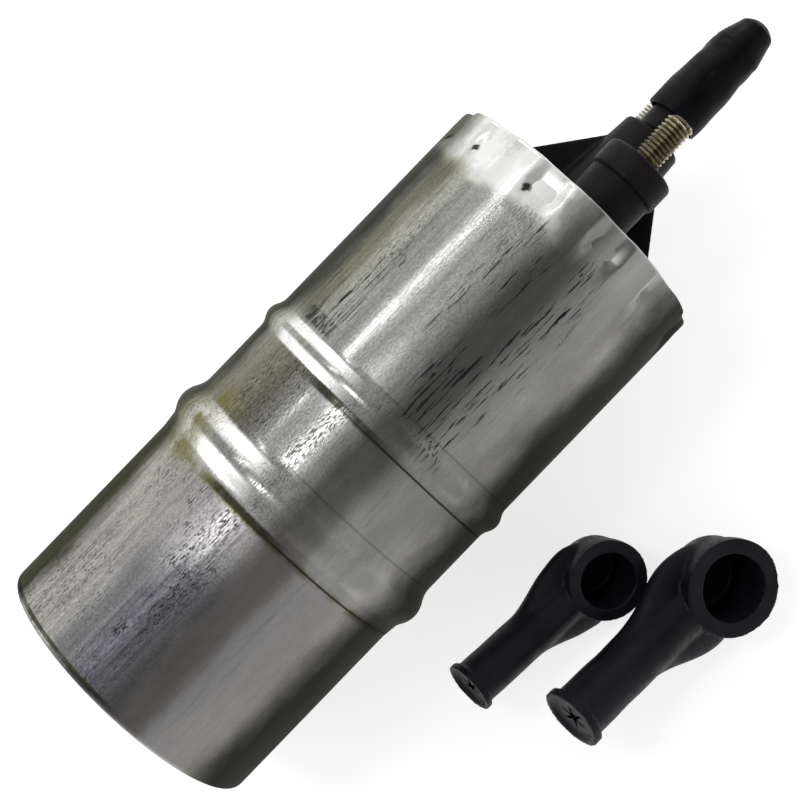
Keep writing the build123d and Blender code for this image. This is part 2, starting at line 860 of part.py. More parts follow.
def make_cap():
    """A soft hood: slightly waisted, with a bulge near its mouth and a rounded tip."""
    bore = barb_radius + cap_gap
    shoulder = (x_cap + cap_shoulder_from_mouth, cap_shoulder_radius)
    tip = x_cap + cap_length
    end = tip - cap_end_wall
    waist = Spline(
        (x_cap, cap_mouth_radius),
        (x_cap + cap_bulge_from_mouth, cap_bulge_radius),
        (x_cap + cap_waist_from_mouth, cap_waist_radius),
        shoulder,
    )
    rim = (tip - cap_tip_height, cap_tip_radius)
    inside = Polyline(
        (tip, 0),
        (end, 0),
        (end, cap_bore_end_radius),
        (end - cap_bore_taper, bore),
        (x_cap, bore),
        (x_cap, cap_mouth_radius),
    )
    top = Spline(rim, (tip, 0), tangents=[(1, -1), (0, -1)])
    return revolve(face_between(waist, Line(shoulder, rim), top, inside), Axis.X)


def make_leg():
    """A boot's leg along X: a round sleeve with a flat web where it meets the barrel, and a flange."""
    neck = boot_leg_length - boot_flange_height
    sections = [Plane.YZ.offset(x) * Ellipse(wide, high) for x, wide, high in boot_flare]
    sections.append(Plane.YZ.offset(boot_flare_end) * Circle(boot_leg_end / 2))
    leg = loft(sections)
    leg += rod(0, neck, boot_leg_end / 2)
    return leg + rod(neck, boot_leg_length, boot_flange / 2)


def make_boot(size, place, turn):
    """An elbow boot, lying on the floor on its rounded back."""
    mouth, back = boot_mouth_from_leg, boot_back_from_leg
    upright = (Align.CENTER, Align.CENTER, Align.MIN)
    barrel = Pos(0, 0, -back) * Cylinder(boot_barrel / 2, mouth + back, align=upright)
    bottom = barrel.edges().filter_by(GeomType.CIRCLE).sort_by(Axis.Z)[0]
    barrel = fillet(bottom, boot_back_round)
    collar_start = mouth - boot_collar_height
    collar = Pos(0, 0, collar_start) * Cylinder(boot_collar / 2, boot_collar_height, align=upright)
    lean = Rot(0, 180 + boot_lean, 0)
    boot = barrel + collar + lean * make_leg()
    bore_depth = mouth + back - boot_floor
    bore = Pos(0, 0, mouth - bore_depth) * Cylinder(boot_bore / 2, bore_depth, align=upright)
    wire = rod(0, boot_leg_length - boot_end_wall, boot_wire_bore / 2)
    wire += rod(0, boot_leg_length, boot_wire_hole / 2)
    boot = scale(boot - bore - lean * wire, by=size)
    heading, roll, pitch = turn
    boot = Rot(0, 0, heading) * Rot(roll, 0, 0) * Rot(0, pitch, 0) * Pos(0, 0, -mouth * size) * boot
    return Pos(*place, floor - boot.bounding_box().min.Z) * boot


def make_all():
    """Every piece under its name."""
    large, small = stud_places
    large_choke, small_choke = choke_places()
    return {
        "housing_can": make_can(),
        "inlet_cover": make_inlet_cover(),
        "inlet_cover_seal": seal(x_inlet_seal, can_bore),
        "relief_valve_plug": make_relief_plug(),
        "relief_valve_spring": make_relief_spring(),
        "relief_valve_ball": make_relief_ball(),
        "pump_inlet_plate": make_inlet_plate(),
        "pump_stage_ring": make_stage_ring(),
        "pump_outlet_plate": make_outlet_plate(),
        "inner_rotor": make_inner_rotor(),
        "outer_rotor": make_outer_rotor(),
        "pump_stage_screws": make_stage_screws(),
        "drive_coupling": make_coupling(),
        "front_bearing_bush": make_front_bush(),
        "rear_bearing_bush": make_rear_bush(),
        "armature_shaft": make_shaft(),
        "armature_core": make_core(),
        "armature_windings": make_windings(),
        "commutator_hub": make_commutator_hub(),
        "commutator_segments": make_commutator_segments(),
        "thrust_washer": make_washer(),
        "pole_ring": make_pole_ring(),
        "magnet_left": make_magnet(-1),
        "magnet_right": make_magnet(1),
        "magnet_clips": make_magnet_clips(),
        "brush_holder": make_brush_holder(),
        "brush_left": make_brush(-1),
        "brush_right": make_brush(1),
        "brush_spring_left": make_brush_spring(-1),
        "brush_spring_right": make_brush_spring(1),
        "large_stud_choke": make_choke(large_choke),
        "small_stud_choke": make_choke(small_choke),
        "large_stud_strip": make_strip(large, m5_radius, large_choke),
        "small_stud_strip": make_strip(small, m4_radius, small_choke),
        "end_cover": make_end_cover(),
        "end_cover_seal": seal(x_cover_seal, can_bore),
        "large_terminal_stud": make_stud(large, m5_radius, large_stud_reach),
        "small_terminal_stud": make_stud(small, m4_radius, small_stud_reach),
        "check_valve_seat": make_valve_seat(),
        "check_valve_poppet": make_poppet(),
        "check_valve_spring": make_valve_spring(),
        "outlet_cap": make_cap(),
        "large_terminal_boot": make_boot(1.0, large_boot_place, large_boot_turn),
        "small_terminal_boot": make_boot(small_boot_ratio, small_boot_place, small_boot_turn),
    }


os.makedirs("parts", exist_ok=True)
for name, shape in make_all().items():
    export_step(shape, f"parts/{name}.step")
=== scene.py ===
"""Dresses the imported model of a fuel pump: its can, head, threads, springs, cap, boots and the stage."""
import json
from math import cos, pi, radians, sin, tan, tau

import bmesh
import bpy
from bpy.props import FloatProperty, FloatVectorProperty, IntProperty, PointerProperty
from mathutils import Euler, Matrix, Vector, noise


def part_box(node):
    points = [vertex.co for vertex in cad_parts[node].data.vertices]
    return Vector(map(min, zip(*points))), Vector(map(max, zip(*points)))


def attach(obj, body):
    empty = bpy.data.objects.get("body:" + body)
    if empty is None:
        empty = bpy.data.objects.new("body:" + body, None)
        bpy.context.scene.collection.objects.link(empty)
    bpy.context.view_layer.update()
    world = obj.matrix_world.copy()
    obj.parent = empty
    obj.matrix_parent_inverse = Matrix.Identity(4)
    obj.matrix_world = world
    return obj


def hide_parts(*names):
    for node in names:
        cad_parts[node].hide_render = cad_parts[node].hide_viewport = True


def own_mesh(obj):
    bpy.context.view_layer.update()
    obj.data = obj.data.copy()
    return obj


bl_info = {
    "name": "Fuel Pump Dresser",
    "version": (1, 0, 0),
    "blender": (4, 5, 0),
    "location": "3D View > Sidebar > Fuel Pump",
    "description": "Builds the visible surfaces of a fuel pump on its packed frame",
    "category": "Object",
}

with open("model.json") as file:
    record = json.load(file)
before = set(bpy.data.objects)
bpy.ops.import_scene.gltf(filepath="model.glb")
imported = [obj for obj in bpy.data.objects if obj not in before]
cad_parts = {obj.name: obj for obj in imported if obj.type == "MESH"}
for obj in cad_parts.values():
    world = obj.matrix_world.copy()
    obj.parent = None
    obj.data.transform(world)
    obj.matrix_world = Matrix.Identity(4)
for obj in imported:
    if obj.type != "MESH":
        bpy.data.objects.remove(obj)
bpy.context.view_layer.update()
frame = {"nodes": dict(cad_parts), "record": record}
MM = 0.001


# Places from the frame and sizes of the can, in metres

CAN_LOW, CAN_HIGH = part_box("housing_can")
INLET_END, OUTLET_END = CAN_LOW.x, CAN_HIGH.x
FLOOR_Z = CAN_LOW.z

# Station where the bosses of the end cover stop and the studs come out
BOSS_TOP = OUTLET_END + 12.0 * MM

# Beads of the can: middle from the inlet end, width and height
BEADS = ((42.3 * MM, 10.0 * MM, 1.5 * MM), (62.9 * MM, 6.4 * MM, 0.95 * MM))
FIRST_BEAD = INLET_END + BEADS[0][0]
SECOND_BEAD = INLET_END + BEADS[1][0]

# Length of the stakes, thickness of the can's turned-in lips and how far each lip reaches inwards
STAKE_LENGTH = 6.2 * MM
LIP = 1.0 * MM
INLET_LIP = 3.4 * MM
OUTLET_LIP = 1.8 * MM

# Colours of the marks on the can, and of its painted shade and painted highlights
MAUVE_CAST = (0.94, 0.90, 0.93)
# Painted highlights: the rim's and the beads'
RIM_HIGHLIGHT = (0.90, 0.90, 0.88)
BEAD_HIGHLIGHT = (0.92, 0.92, 0.89)
SCRATCH_BLACK = (0.014, 0.013, 0.013)
# Painted shade: in the creases, on the inlet end's bend and at the stakes' corners
CREASE_SHADE = (0.026, 0.025, 0.014)
INLET_BEND_SHADE = (0.03, 0.03, 0.016)
STAKE_CORNER_SHADE = (0.02, 0.02, 0.018)


# Settings that a user would change

def length_setting(name, description, default):
    return FloatProperty(name=name, description=description, default=default, unit="LENGTH")


def colour_setting(name, description, default):
    return FloatVectorProperty(name=name, description=description, subtype="COLOR", size=3, default=default)


class PumpCanSettings(bpy.types.PropertyGroup):
    radius: length_setting("Radius", "Outside radius of the can", 26.0 * MM)
    wall: length_setting("Wall", "Thickness of the can's sheet", 1.0 * MM)
    stake_count: IntProperty(name="Stakes", description="Pressed stakes round the outlet end",
                             default=12, min=3)
    stake_width: length_setting("Stake width", "Width of one stake", 8.0 * MM)
    stake_depth: length_setting("Stake depth", "How far a stake is pressed in", 1.0 * MM)
    unevenness: length_setting("Unevenness", "How far the staked rim strays", 0.25 * MM)
    metal: colour_setting("Metal", "Colour of the drawn aluminium", (0.38, 0.38, 0.37))
    stain: colour_setting("Stain", "Colour of the dried-fuel stain", (0.13, 0.12, 0.02))


class PumpHeadSettings(bpy.types.PropertyGroup):
    moulding: colour_setting("Moulding", "Colour of the end cover", (0.0072, 0.0058, 0.0058))
    thread_pitch: length_setting("Thread pitch", "Pitch of the large stud", 0.8 * MM)
    fine_pitch: length_setting("Small pitch", "Pitch of the small stud", 0.7 * MM)
    thread_depth: length_setting("Thread depth", "From crest to root", 0.42 * MM)
    plating: colour_setting("Plating", "Colour of the large stud", (0.66, 0.61, 0.47))


class PumpRubberSettings(bpy.types.PropertyGroup):
    rubber: colour_setting("Rubber", "Colour of the cap and boots", (0.0080, 0.0076, 0.0122))
    voxel: length_setting("Skin cell", "Cell of the boots' skin", 0.3 * MM)


class PumpStageSettings(bpy.types.PropertyGroup):
    camera_height: length_setting("Camera height", "Camera above the pump's axis", 0.270)
    camera_turn: FloatProperty(name="Camera turn", description="Angle of the axis in the picture",
                               default=radians(46), subtype="ANGLE")
    lens: FloatProperty(name="Lens", description="Focal length in millimetres", default=70.7)
    floor: colour_setting("Floor", "Colour of the floor", (0.58, 0.58, 0.58))
    glow: FloatProperty(name="Floor glow", description="White added to the floor where it is seen",
                        default=0.72)


# Short calls for the nodes of materials and geometry trees

class Nodes:
    """A node tree with short calls that make, set and link its nodes."""

    def __init__(self, tree):
        self.tree = tree

    def node(self, kind, inputs=None, **properties):
        """A new node with its properties set, and with its inputs set or linked."""
        made = self.tree.nodes.new(kind)
        for name, value in properties.items():
            setattr(made, name, value)
        for name, value in (inputs or {}).items():
            self.put(value, made.inputs[name])
        return made

    def put(self, value, socket):
        """Links an output to a socket, or sets the socket to a number, a vector or a colour."""
        if isinstance(value, bpy.types.NodeSocket):
            self.tree.links.new(value, socket)
        elif socket.type == "RGBA":
            socket.default_value = (*value, 1.0)
        else:
            socket.default_value = value

    def math(self, operation, *values):
        return self.node("ShaderNodeMath", dict(enumerate(values)), operation=operation).outputs["Value"]

    def chain(self, operation, values):
        """Several values joined by one operation, from the first to the last."""
        result = values[0]
        for value in values[1:]:
            result = self.math(operation, result, value)
        return result

    def plus(self, *values):
        return self.chain("ADD", values)

    def times(self, *values):
        return self.chain("MULTIPLY", values)

    def most(self, *values):
        """The largest of several values."""
        return self.chain("MAXIMUM", values)

    def less(self, value, other):
        return self.math("SUBTRACT", value, other)

    def apart(self, value, middle):
        """How far a value lies from a middle, on either side."""
        return self.math("ABSOLUTE", self.less(value, middle))

    def reach(self, across, up):
        """Length of a distance that has two parts."""
        return self.math("SQRT", self.plus(self.times(across, across), self.times(up, up)))


class Finish(Nodes):
    """One node material on Object coordinates, which are the frame's metres."""

    def __init__(self, name):
        self.material = bpy.data.materials.new(name)
        self.material.use_nodes = True
        super().__init__(self.material.node_tree)
        self.shader = self.tree.nodes["Principled BSDF"]
        self.place = self.node("ShaderNodeTexCoord").outputs["Object"]

    def noise(self, scale, detail=4.0, rough=0.55, stretch=(1, 1, 1), move=(0, 0, 0), warp=0.0):
        """A cloudy pattern; a small number in stretch draws it out along that axis."""
        place = self.node("ShaderNodeMapping", {"Vector": self.place, "Location": move, "Scale": stretch})
        cloud = {"Vector": place.outputs["Vector"], "Scale": scale, "Detail": detail, "Roughness": rough,
                 "Distortion": warp}
        return self.node("ShaderNodeTexNoise", cloud).outputs["Fac"]

    def step(self, value, low, high, out_low=0.0, out_high=1.0, smooth=True):
        """A change from one level to another while a value goes from low to high."""
        levels = {"Value": value, "From Min": low, "From Max": high, "To Min": out_low, "To Max": out_high}
        course = "SMOOTHSTEP" if smooth else "LINEAR"
        return self.node("ShaderNodeMapRange", levels, interpolation_type=course).outputs["Result"]

    def between(self, value, low, high, soft):
        """1 between two limits, with soft edges outside them."""
        return self.times(self.step(value, low - soft, low), self.step(value, high + soft, high))

    def outside(self, zone, left, smooth=True):
        """1 outside a zone and a smaller share, what is left, inside it."""
        return self.step(zone, 0.0, 1.0, 1.0, left, smooth)

    def strayed(self, value, pattern, limit):
        """A value that strays up and down with a pattern, as far as a limit."""
        return self.plus(value, self.step(pattern, 0.3, 0.7, -limit, limit, smooth=False))

    def split(self):
        parts = self.node("ShaderNodeSeparateXYZ", {"Vector": self.place}).outputs
        return parts["X"], parts["Y"], parts["Z"]

    def along(self, origin, way):
        """Distance from a point along a direction."""
        apart = self.node("ShaderNodeVectorMath", {0: self.place, 1: origin}, operation="SUBTRACT")
        vectors = {0: apart.outputs["Vector"], 1: way}
        return self.node("ShaderNodeVectorMath", vectors, operation="DOT_PRODUCT").outputs["Value"]

    def mix(self, factor, first, second, blend="MIX"):
        made = self.node("ShaderNodeMix", {"Factor": factor}, data_type="RGBA", blend_type=blend)
        pair = [socket for socket in made.inputs if socket.type == "RGBA"]
        self.put(first, pair[0])
        self.put(second, pair[1])
        return next(socket for socket in made.outputs if socket.type == "RGBA")

    def tint(self, colour, value):
        """A colour multiplied by a grey value or by another colour."""
        return self.mix(1.0, colour, value, "MULTIPLY")

    def colour(self, value):
        self.put(value, self.shader.inputs["Base Color"])

    def rough(self, value):
        self.put(value, self.shader.inputs["Roughness"])

    def metal(self, value=1.0):
        self.put(value, self.shader.inputs["Metallic"])

    def sheen(self, value):
        """Strength of a plain surface's reflection."""
        self.put(value, self.shader.inputs["Specular IOR Level"])

    def relief(self, height, strength, distance):
        bump = {"Height": height, "Strength": strength, "Distance": distance}
        return self.node("ShaderNodeBump", bump)

    def bump(self, height, strength, distance, before=None):
        """Gives the surface a relief, on top of the one before where there is one."""
        top = self.relief(height, strength, distance)
        if before is not None:
            self.put(before.outputs["Normal"], top.inputs["Normal"])
        self.put(top.outputs["Normal"], self.shader.inputs["Normal"])

    def grain(self, marks, low, high, strength, distance):
        """Roughness between two levels and a fine relief, both from one pattern."""
        self.rough(self.step(marks, 0.3, 0.7, low, high))
        self.bump(marks, strength, distance)


def scaled(colour, share):
    """A colour made darker or lighter."""
    return tuple(min(1.0, channel * share) for channel in colour)


# Finishes of the plain pieces

def worked_metal(name, colour, rough=0.35, grain=900.0, stretch=(1, 1, 1), change=0.25, bump=0.15):
    """A plain machined or pressed metal: tone, roughness and a fine grain."""
    f = Finish(name)
    f.metal()
    tone = f.noise(60.0, 5.0, 0.6)
    f.colour(f.mix(tone, scaled(colour, 1 - change), scaled(colour, 1 + change / 2)))
    f.grain(f.noise(grain, 3.0, 0.6, stretch), rough - 0.07, rough + 0.1, bump, 0.00004)
    return f.material


def dull_solid(name, colour, rough=0.6, grain=700.0, change=0.3, bump=0.2):
    """A moulded, sintered or painted solid with a fine skin."""
    f = Finish(name)
    tone = f.noise(90.0, 4.0, 0.6)
    f.colour(f.mix(tone, scaled(colour, 1 - change), scaled(colour, 1 + change)))
    f.grain(f.noise(grain, 4.0, 0.65), rough - 0.08, rough + 0.08, bump, 0.00005)
    return f.material


def die_cast_metal():
    """The die-cast inlet cover: matt, slightly mottled."""
    f = Finish("die_cast")
    f.metal()
    tone = f.noise(150.0, 5.0, 0.6)
    f.colour(f.mix(f.step(tone, 0.3, 0.7), (0.30, 0.30, 0.31), (0.48, 0.48, 0.48)))
    f.grain(f.noise(1300.0, 5.0, 0.7), 0.42, 0.60, 0.35, 0.00008)
    return f.material


def head_plastic(head):
    """The end cover's glass-filled moulding: near black, brownish, with a soft sheen."""
    f = Finish("black_moulding")
    tone = f.noise(120.0, 5.0, 0.6)
    colour = f.mix(f.step(tone, 0.3, 0.7), scaled(head.moulding, 0.7), scaled(head.moulding, 1.5))
    dust = f.step(f.noise(900.0, 3.0, 0.6), 0.64, 0.78, 0.0, 0.12)
    f.colour(f.mix(dust, colour, (0.06, 0.05, 0.048)))
    f.sheen(0.13)
    f.grain(f.noise(1400.0, 4.0, 0.6), 0.40, 0.54, 0.12, 0.00006)
    return f.material


def star_slit(f, middle, out, up, size):
    """Where three crossing cuts show in the end of a boot's leg."""
    along, high, wide = (f.along(middle, way) for way in (out, up, out.cross(up)))
    cuts = []
    for turn in (20, 80, 140):
        a = radians(turn)
        line = f.apart(f.times(high, cos(a)), f.times(wide, sin(a)))
        cuts.append(f.step(line, 0.42 * MM, 0.22 * MM))
    in_face = f.step(f.reach(high, wide), 2.9 * size * MM, 2.3 * size * MM)
    return f.times(f.most(*cuts), in_face, f.step(along, -1.6 * MM, -1.2 * MM))


def soft_rubber(name, colour, rough=0.48, slit=None, sheen=0.20):
    """Black rubber with a bluish bloom, pale specks and, on a boot, a star-shaped slit in its leg's end,
    painted as near-black shade without reflection.
    """
    f = Finish(name)
    bloom = f.noise(70.0, 5.0, 0.6)
    tone = f.mix(f.step(bloom, 0.32, 0.72), scaled(colour, 0.55), scaled(colour, 1.6))
    specks = f.step(f.noise(1100.0, 2.0, 0.5), 0.68, 0.78, 0.0, 0.15)
    tone = f.mix(specks, tone, (0.05, 0.05, 0.06))
    if slit is not None:
        star = star_slit(f, *slit)
        # The slit's cuts are painted as near-black shade with no reflection.
        tone = f.mix(star, tone, (0.0008, 0.0008, 0.0008))
        sheen = f.step(star, 0.0, 1.0, sheen, 0.0, smooth=False)
    f.colour(tone)
    f.sheen(sheen)
    f.grain(f.noise(650.0, 4.0, 0.6), rough - 0.07, rough + 0.1, 0.22, 0.00008)
    return f.material


def plated_thread(name, crest, root, y, z, radius, depth):
    """A plated thread about a line along X: bright crests over a root painted darker and yellower as shade.
    """
    f = Finish(name)
    f.metal()
    _, across, up = f.split()
    out = f.reach(f.less(across, y), f.less(up, z))
    # The thread's root is painted darker as shade in its grooves.
    colour = f.mix(f.step(out, radius - 0.8 * depth, radius - 0.25 * depth), root, crest)
    f.colour(f.tint(colour, f.step(f.noise(240.0, 4.0, 0.6), 0.35, 0.65, 0.8, 1.15)))
    f.grain(f.noise(1500.0, 3.0, 0.6), 0.24, 0.40, 0.1, 0.00003)
    return f.material


# The can's finish

class CanFinish(Finish):
    """Drawn aluminium in layers: zones by station and by turn, and marks, painted shade and painted
    highlights laid over the sheet one by one.

    The turn is the angle about the pump's axis, 0 at the top and growing towards +Y.
    """

    def __init__(self, can):
        super().__init__("drawn_aluminium")
        self.can = can
        self.x, y, z = self.split()
        self.turn = self.math("ARCTAN2", y, z)
        self.lines = self.noise(900.0, 5.0, 0.72, (0.03, 1, 1))
        self.mottle = self.noise(4200.0, 2.0, 0.6, (0.5, 1, 1))
        self.wander = self.noise(70.0, 5.0, 0.6, (0.6, 1, 1))
        self.blots = self.noise(130.0, 6.0, 0.68, (0.5, 1, 1))
        self.drift = self.strayed(self.turn, self.wander, 0.06)
        self.edge = self.strayed(self.turn, self.wander, 0.09)
        self.rim_edge = self.strayed(self.x, self.wander, 1.5 * MM)
        self.lower = self.step(self.x, FIRST_BEAD + 2 * MM, FIRST_BEAD - 8 * MM)
        self.mid = self.between(self.x, FIRST_BEAD + 4 * MM, SECOND_BEAD - 3 * MM, 2 * MM)
        self.rim = self.step(self.rim_edge, OUTLET_END - 10 * MM, OUTLET_END - 6 * MM)
        self.satin = self.step(self.turn, 0.08, -0.14)

    def lay(self, zone, colour):
        """Mixes a colour over the sheet in a zone."""
        self.sheet = self.mix(zone, self.sheet, colour)

    def darken(self, zone, shade):
        """Multiplies the sheet by a shade in a zone."""
        self.lay(zone, self.tint(self.sheet, shade))

    def draw_sheet(self):
        """Broad dulling, a mauve cast below the first bead, draw lines and a fine mottle."""
        base = tuple(self.can.metal)
        tone = self.noise(45.0, 7.0, 0.66, (0.45, 1, 1))
        self.sheet = self.mix(self.step(tone, 0.34, 0.68), scaled(base, 0.76), scaled(base, 1.2))
        self.lay(self.times(self.lower, 0.5), tuple(c * share for c, share in zip(base, MAUVE_CAST)))
        drawn = self.tint(self.sheet, self.step(self.lines, 0.42, 0.68, 1.10, 0.74))
        drawn = self.tint(drawn, self.step(self.mottle, 0.36, 0.66, 1.18, 0.78))
        self.sheet = self.mix(self.times(self.satin, 0.8), drawn, self.sheet)

    def polish_and_highlight_rim(self):
        """A polished rim painted paler, most on the +Y side that faces the light, partly as a painted
        highlight, and a near-white painted highlight, the bloom, where the stakes face the light.
        """
        polish_and_highlight = self.times(self.rim, self.step(self.turn, -0.45, 0.05, 0.25, 1.0))
        self.lay(self.times(polish_and_highlight, 0.8), scaled(self.can.metal, 1.6))
        # The bloom is a painted highlight; it also makes the rim less metallic there.
        self.bloom = self.times(self.step(self.rim_edge, OUTLET_END - 10.5 * MM, OUTLET_END - 7.5 * MM),
                                self.step(self.turn, -0.12, 0.16), self.step(self.turn, 1.25, 1.05),
                                self.step(self.noise(170.0, 4.0, 0.6), 0.34, 0.50, 0.35, 1.0))
        self.lay(self.bloom, RIM_HIGHLIGHT)

    def paint_shade_bands(self):
        """Painted shade: a browner, darker patch between the beads, and darker bands along the can on both
        sides of the light streak.
        """
        # Each band below darkens the sheet as painted shade where the can's reflections are darker.
        brown = self.times(self.mid, self.step(self.turn, 0.44, 0.66),
                           self.step(self.wander, 0.30, 0.50, 0.6, 1.0))
        self.darken(brown, (0.56, 0.54, 0.47))
        low_band = self.times(self.between(self.drift, 0.02, 0.24, 0.12),
                              self.step(self.x, FIRST_BEAD - 9 * MM, FIRST_BEAD - 20 * MM))
        self.darken(low_band, (0.50, 0.50, 0.545))
        upper_shade = self.times(self.step(self.drift, 0.72, 0.96),
                                 self.step(self.x, SECOND_BEAD, SECOND_BEAD + 5 * MM),
                                 self.outside(self.rim, 0.15))
        self.darken(upper_shade, (0.34, 0.34, 0.27))
        self.darken(self.between(self.drift, -0.20, -0.04, 0.10), (0.64, 0.63, 0.62))
        sides = self.times(self.step(self.math("ABSOLUTE", self.turn), 0.45, 0.75),
                           self.outside(self.rim, 0.2))
        self.darken(sides, (0.98, 0.98, 0.88))
        streak_end = self.times(self.step(self.x, FIRST_BEAD - 13 * MM, FIRST_BEAD - 25 * MM),
                                self.between(self.drift, 0.14, 0.44, 0.16))
        self.darken(streak_end, (0.46, 0.46, 0.48))

    def paint_bead_highlights(self):
        """Painted highlights on the shoulders of both beads, where they face the light."""
        for middle, width, _ in BEADS:
            from_crest = self.apart(self.x, INLET_END + middle)
            shoulder = self.between(from_crest, 0.13 * width, 0.33 * width, 0.08 * width)
            bright = self.times(shoulder, self.between(self.turn, 0.36, 0.86, 0.18),
                                self.step(self.wander, 0.30, 0.42))
            # The bead colour laid here is a painted highlight.
            self.lay(self.times(bright, 0.9), BEAD_HIGHLIGHT)

    def long_scratches(self):
        """Long scratches above the second bead, along the top and beside the +Y side."""
        clusters = self.noise(75.0, 4.0, 0.62, (0.4, 1, 1), (0.3, 0.0, 0.4))
        marks = self.step(self.noise(1900.0, 3.0, 0.6, (0.075, 1, 1), (0.7, 0.2, 0.0), 0.4), 0.56, 0.61)
        top = self.times(self.between(self.turn, -0.36, 0.14, 0.22),
                         self.step(self.x, SECOND_BEAD - 2 * MM, SECOND_BEAD + 3 * MM, 0.12, 1.0))
        side = self.times(self.between(self.turn, 0.64, 1.05, 0.2),
                          self.step(self.x, SECOND_BEAD, SECOND_BEAD + 8 * MM, 0.3, 1.0))
        return self.times(marks, self.most(self.times(top, self.step(clusters, 0.40, 0.52)),
                                           self.times(side, self.step(clusters, 0.40, 0.51))))

    def short_strokes(self):
        """Short strokes in patches, dense on the lower part of the can and between the beads."""
        patches = self.noise(60.0, 4.0, 0.6, (0.5, 1, 1), (0.9, 0.3, 0.1))
        strokes = self.step(self.noise(4500.0, 3.0, 0.65, (0.26, 1, 1), (0.1, 0.6, 0.3), 0.05), 0.51, 0.59)
        low_patch = self.times(self.lower, self.between(self.turn, 0.16, 0.80, 0.2),
                               self.step(patches, 0.44, 0.54),
                               self.step(self.noise(240.0, 4.0, 0.62, (0.5, 1, 1)), 0.40, 0.56, 0.1, 1.0))
        few = self.times(self.step(patches, 0.50, 0.62, 0.0, 0.8), self.step(self.turn, 0.08, 0.2))
        mid_patch = self.times(self.mid, self.between(self.turn, 0.52, 0.80, 0.14),
                               self.step(patches, 0.38, 0.50))
        return self.times(strokes, self.most(mid_patch, low_patch, few))

    def hatching(self):
        """A narrow band of hatching beside the second bead."""
        return self.times(self.step(self.noise(2600.0, 3.0, 0.6, (0.2, 1, 1)), 0.44, 0.52),
                          self.between(self.x, SECOND_BEAD + 3.3 * MM, SECOND_BEAD + 5.4 * MM, 0.5 * MM),
                          self.between(self.turn, 0.66, 0.90, 0.08), 0.9)

    def scratch_sheet(self):
        """All black marks, which are weaker on the rim."""
        marks = self.most(self.long_scratches(), self.hatching(), self.times(self.short_strokes(), 0.85))
        self.scratch = self.times(marks, self.outside(self.rim, 0.15))
        self.lay(self.times(self.scratch, 0.92), SCRATCH_BLACK)

    def stain_bead(self):
        """Dried fuel, yellow beside the first bead and in the crease below it."""
        beside = self.times(self.step(self.apart(self.x, FIRST_BEAD), 9 * MM, 5 * MM),
                            self.step(self.turn, 0.62, 0.92))
        from_foot = self.apart(self.x, FIRST_BEAD - BEADS[0][1] / 2 - 0.3 * MM)
        foot = self.times(self.step(from_foot, 1.1 * MM, 0.3 * MM), 0.8)
        stain = self.times(self.most(beside, foot), self.step(self.blots, 0.38, 0.56))
        self.lay(self.times(stain, 0.85), tuple(self.can.stain))

    def shade_creases(self):
        """Painted shade in the creases at both feet of each bead, and a painted dark line of shade round the
        bend of the inlet end.
        """
        for middle, width, _ in BEADS:
            from_crest = self.apart(self.x, INLET_END + middle)
            low_foot = INLET_END + middle - 0.52 * width
            # The crease line and the wider foot band are painted shade.
            crease = self.times(self.step(self.apart(from_crest, 0.52 * width), 0.30 * MM, 0.08 * MM),
                                self.step(self.turn, 0.40, 0.15),
                                self.step(self.x, low_foot + 1 * MM, low_foot + 2 * MM, 0.9, 0.3))
            shade = self.times(self.between(self.x, low_foot - 0.2 * MM, low_foot + 0.7 * MM, 0.5 * MM),
                               self.between(self.drift, 0.06, 0.40, 0.26),
                               self.step(self.blots, 0.34, 0.56, 0.45, 0.95))
            self.lay(self.most(crease, shade), CREASE_SHADE)
        # A thin line of painted shade on the inlet end's rounded bend.
        end_line = self.times(self.between(self.x, INLET_END + 1.0 * MM, INLET_END + 1.5 * MM, 0.25 * MM),
                              self.step(self.blots, 0.3, 0.5, 0.3, 0.9), self.step(self.turn, -0.1, 0.1))
        self.lay(end_line, INLET_BEND_SHADE)

    def shade_stake_corners(self):
        """A torn notch at one inner corner of each stake, painted dark as shade, strong only on the +Y side.
        """
        can = self.can
        stake_turn = self.math("FLOORED_MODULO", self.turn, tau / can.stake_count)
        corner = pi / can.stake_count + (0.5 * can.stake_width - 1.5 * MM) / can.radius
        aside = self.times(self.less(stake_turn, corner), 1.5 * can.radius)
        inward = self.less(self.x, OUTLET_END - STAKE_LENGTH + 0.7 * MM)
        reach = self.strayed(self.reach(aside, inward), self.noise(900.0, 3.0, 0.6), 0.45 * MM)
        # The dark notch is painted shade in the stake's corner.
        notch = self.times(self.step(reach, 1.0 * MM, 0.45 * MM), self.step(self.turn, 0.0, 0.1, 0.25, 0.95))
        self.lay(notch, STAKE_CORNER_SHADE)

    def shade_sides(self):
        """Painted shade: an olive shade along the +Y side, a brown shade low on the -Y side and a darker
        underside.
        """
        # These tints are painted shade on the sides and the underside, and their mask also makes the metal
        # less metallic there.
        far_edge = self.plus(self.edge, self.times(self.lower, 0.07))
        far_side = self.times(self.step(far_edge, 0.97, 1.24), self.step(self.edge, 2.1, 1.5),
                              self.outside(self.rim, 0.85))
        self.darken(self.times(far_side, 0.97), (0.072, 0.080, 0.024))
        low_side = self.times(self.step(self.edge, -0.62, -1.02), self.step(self.edge, -2.1, -1.5))
        self.darken(self.times(low_side, 0.96), (0.080, 0.078, 0.066))
        self.darken(self.step(self.math("ABSOLUTE", self.edge), 1.5, 2.1), (0.42, 0.41, 0.36))
        self.side_shade = self.most(far_side, low_side)

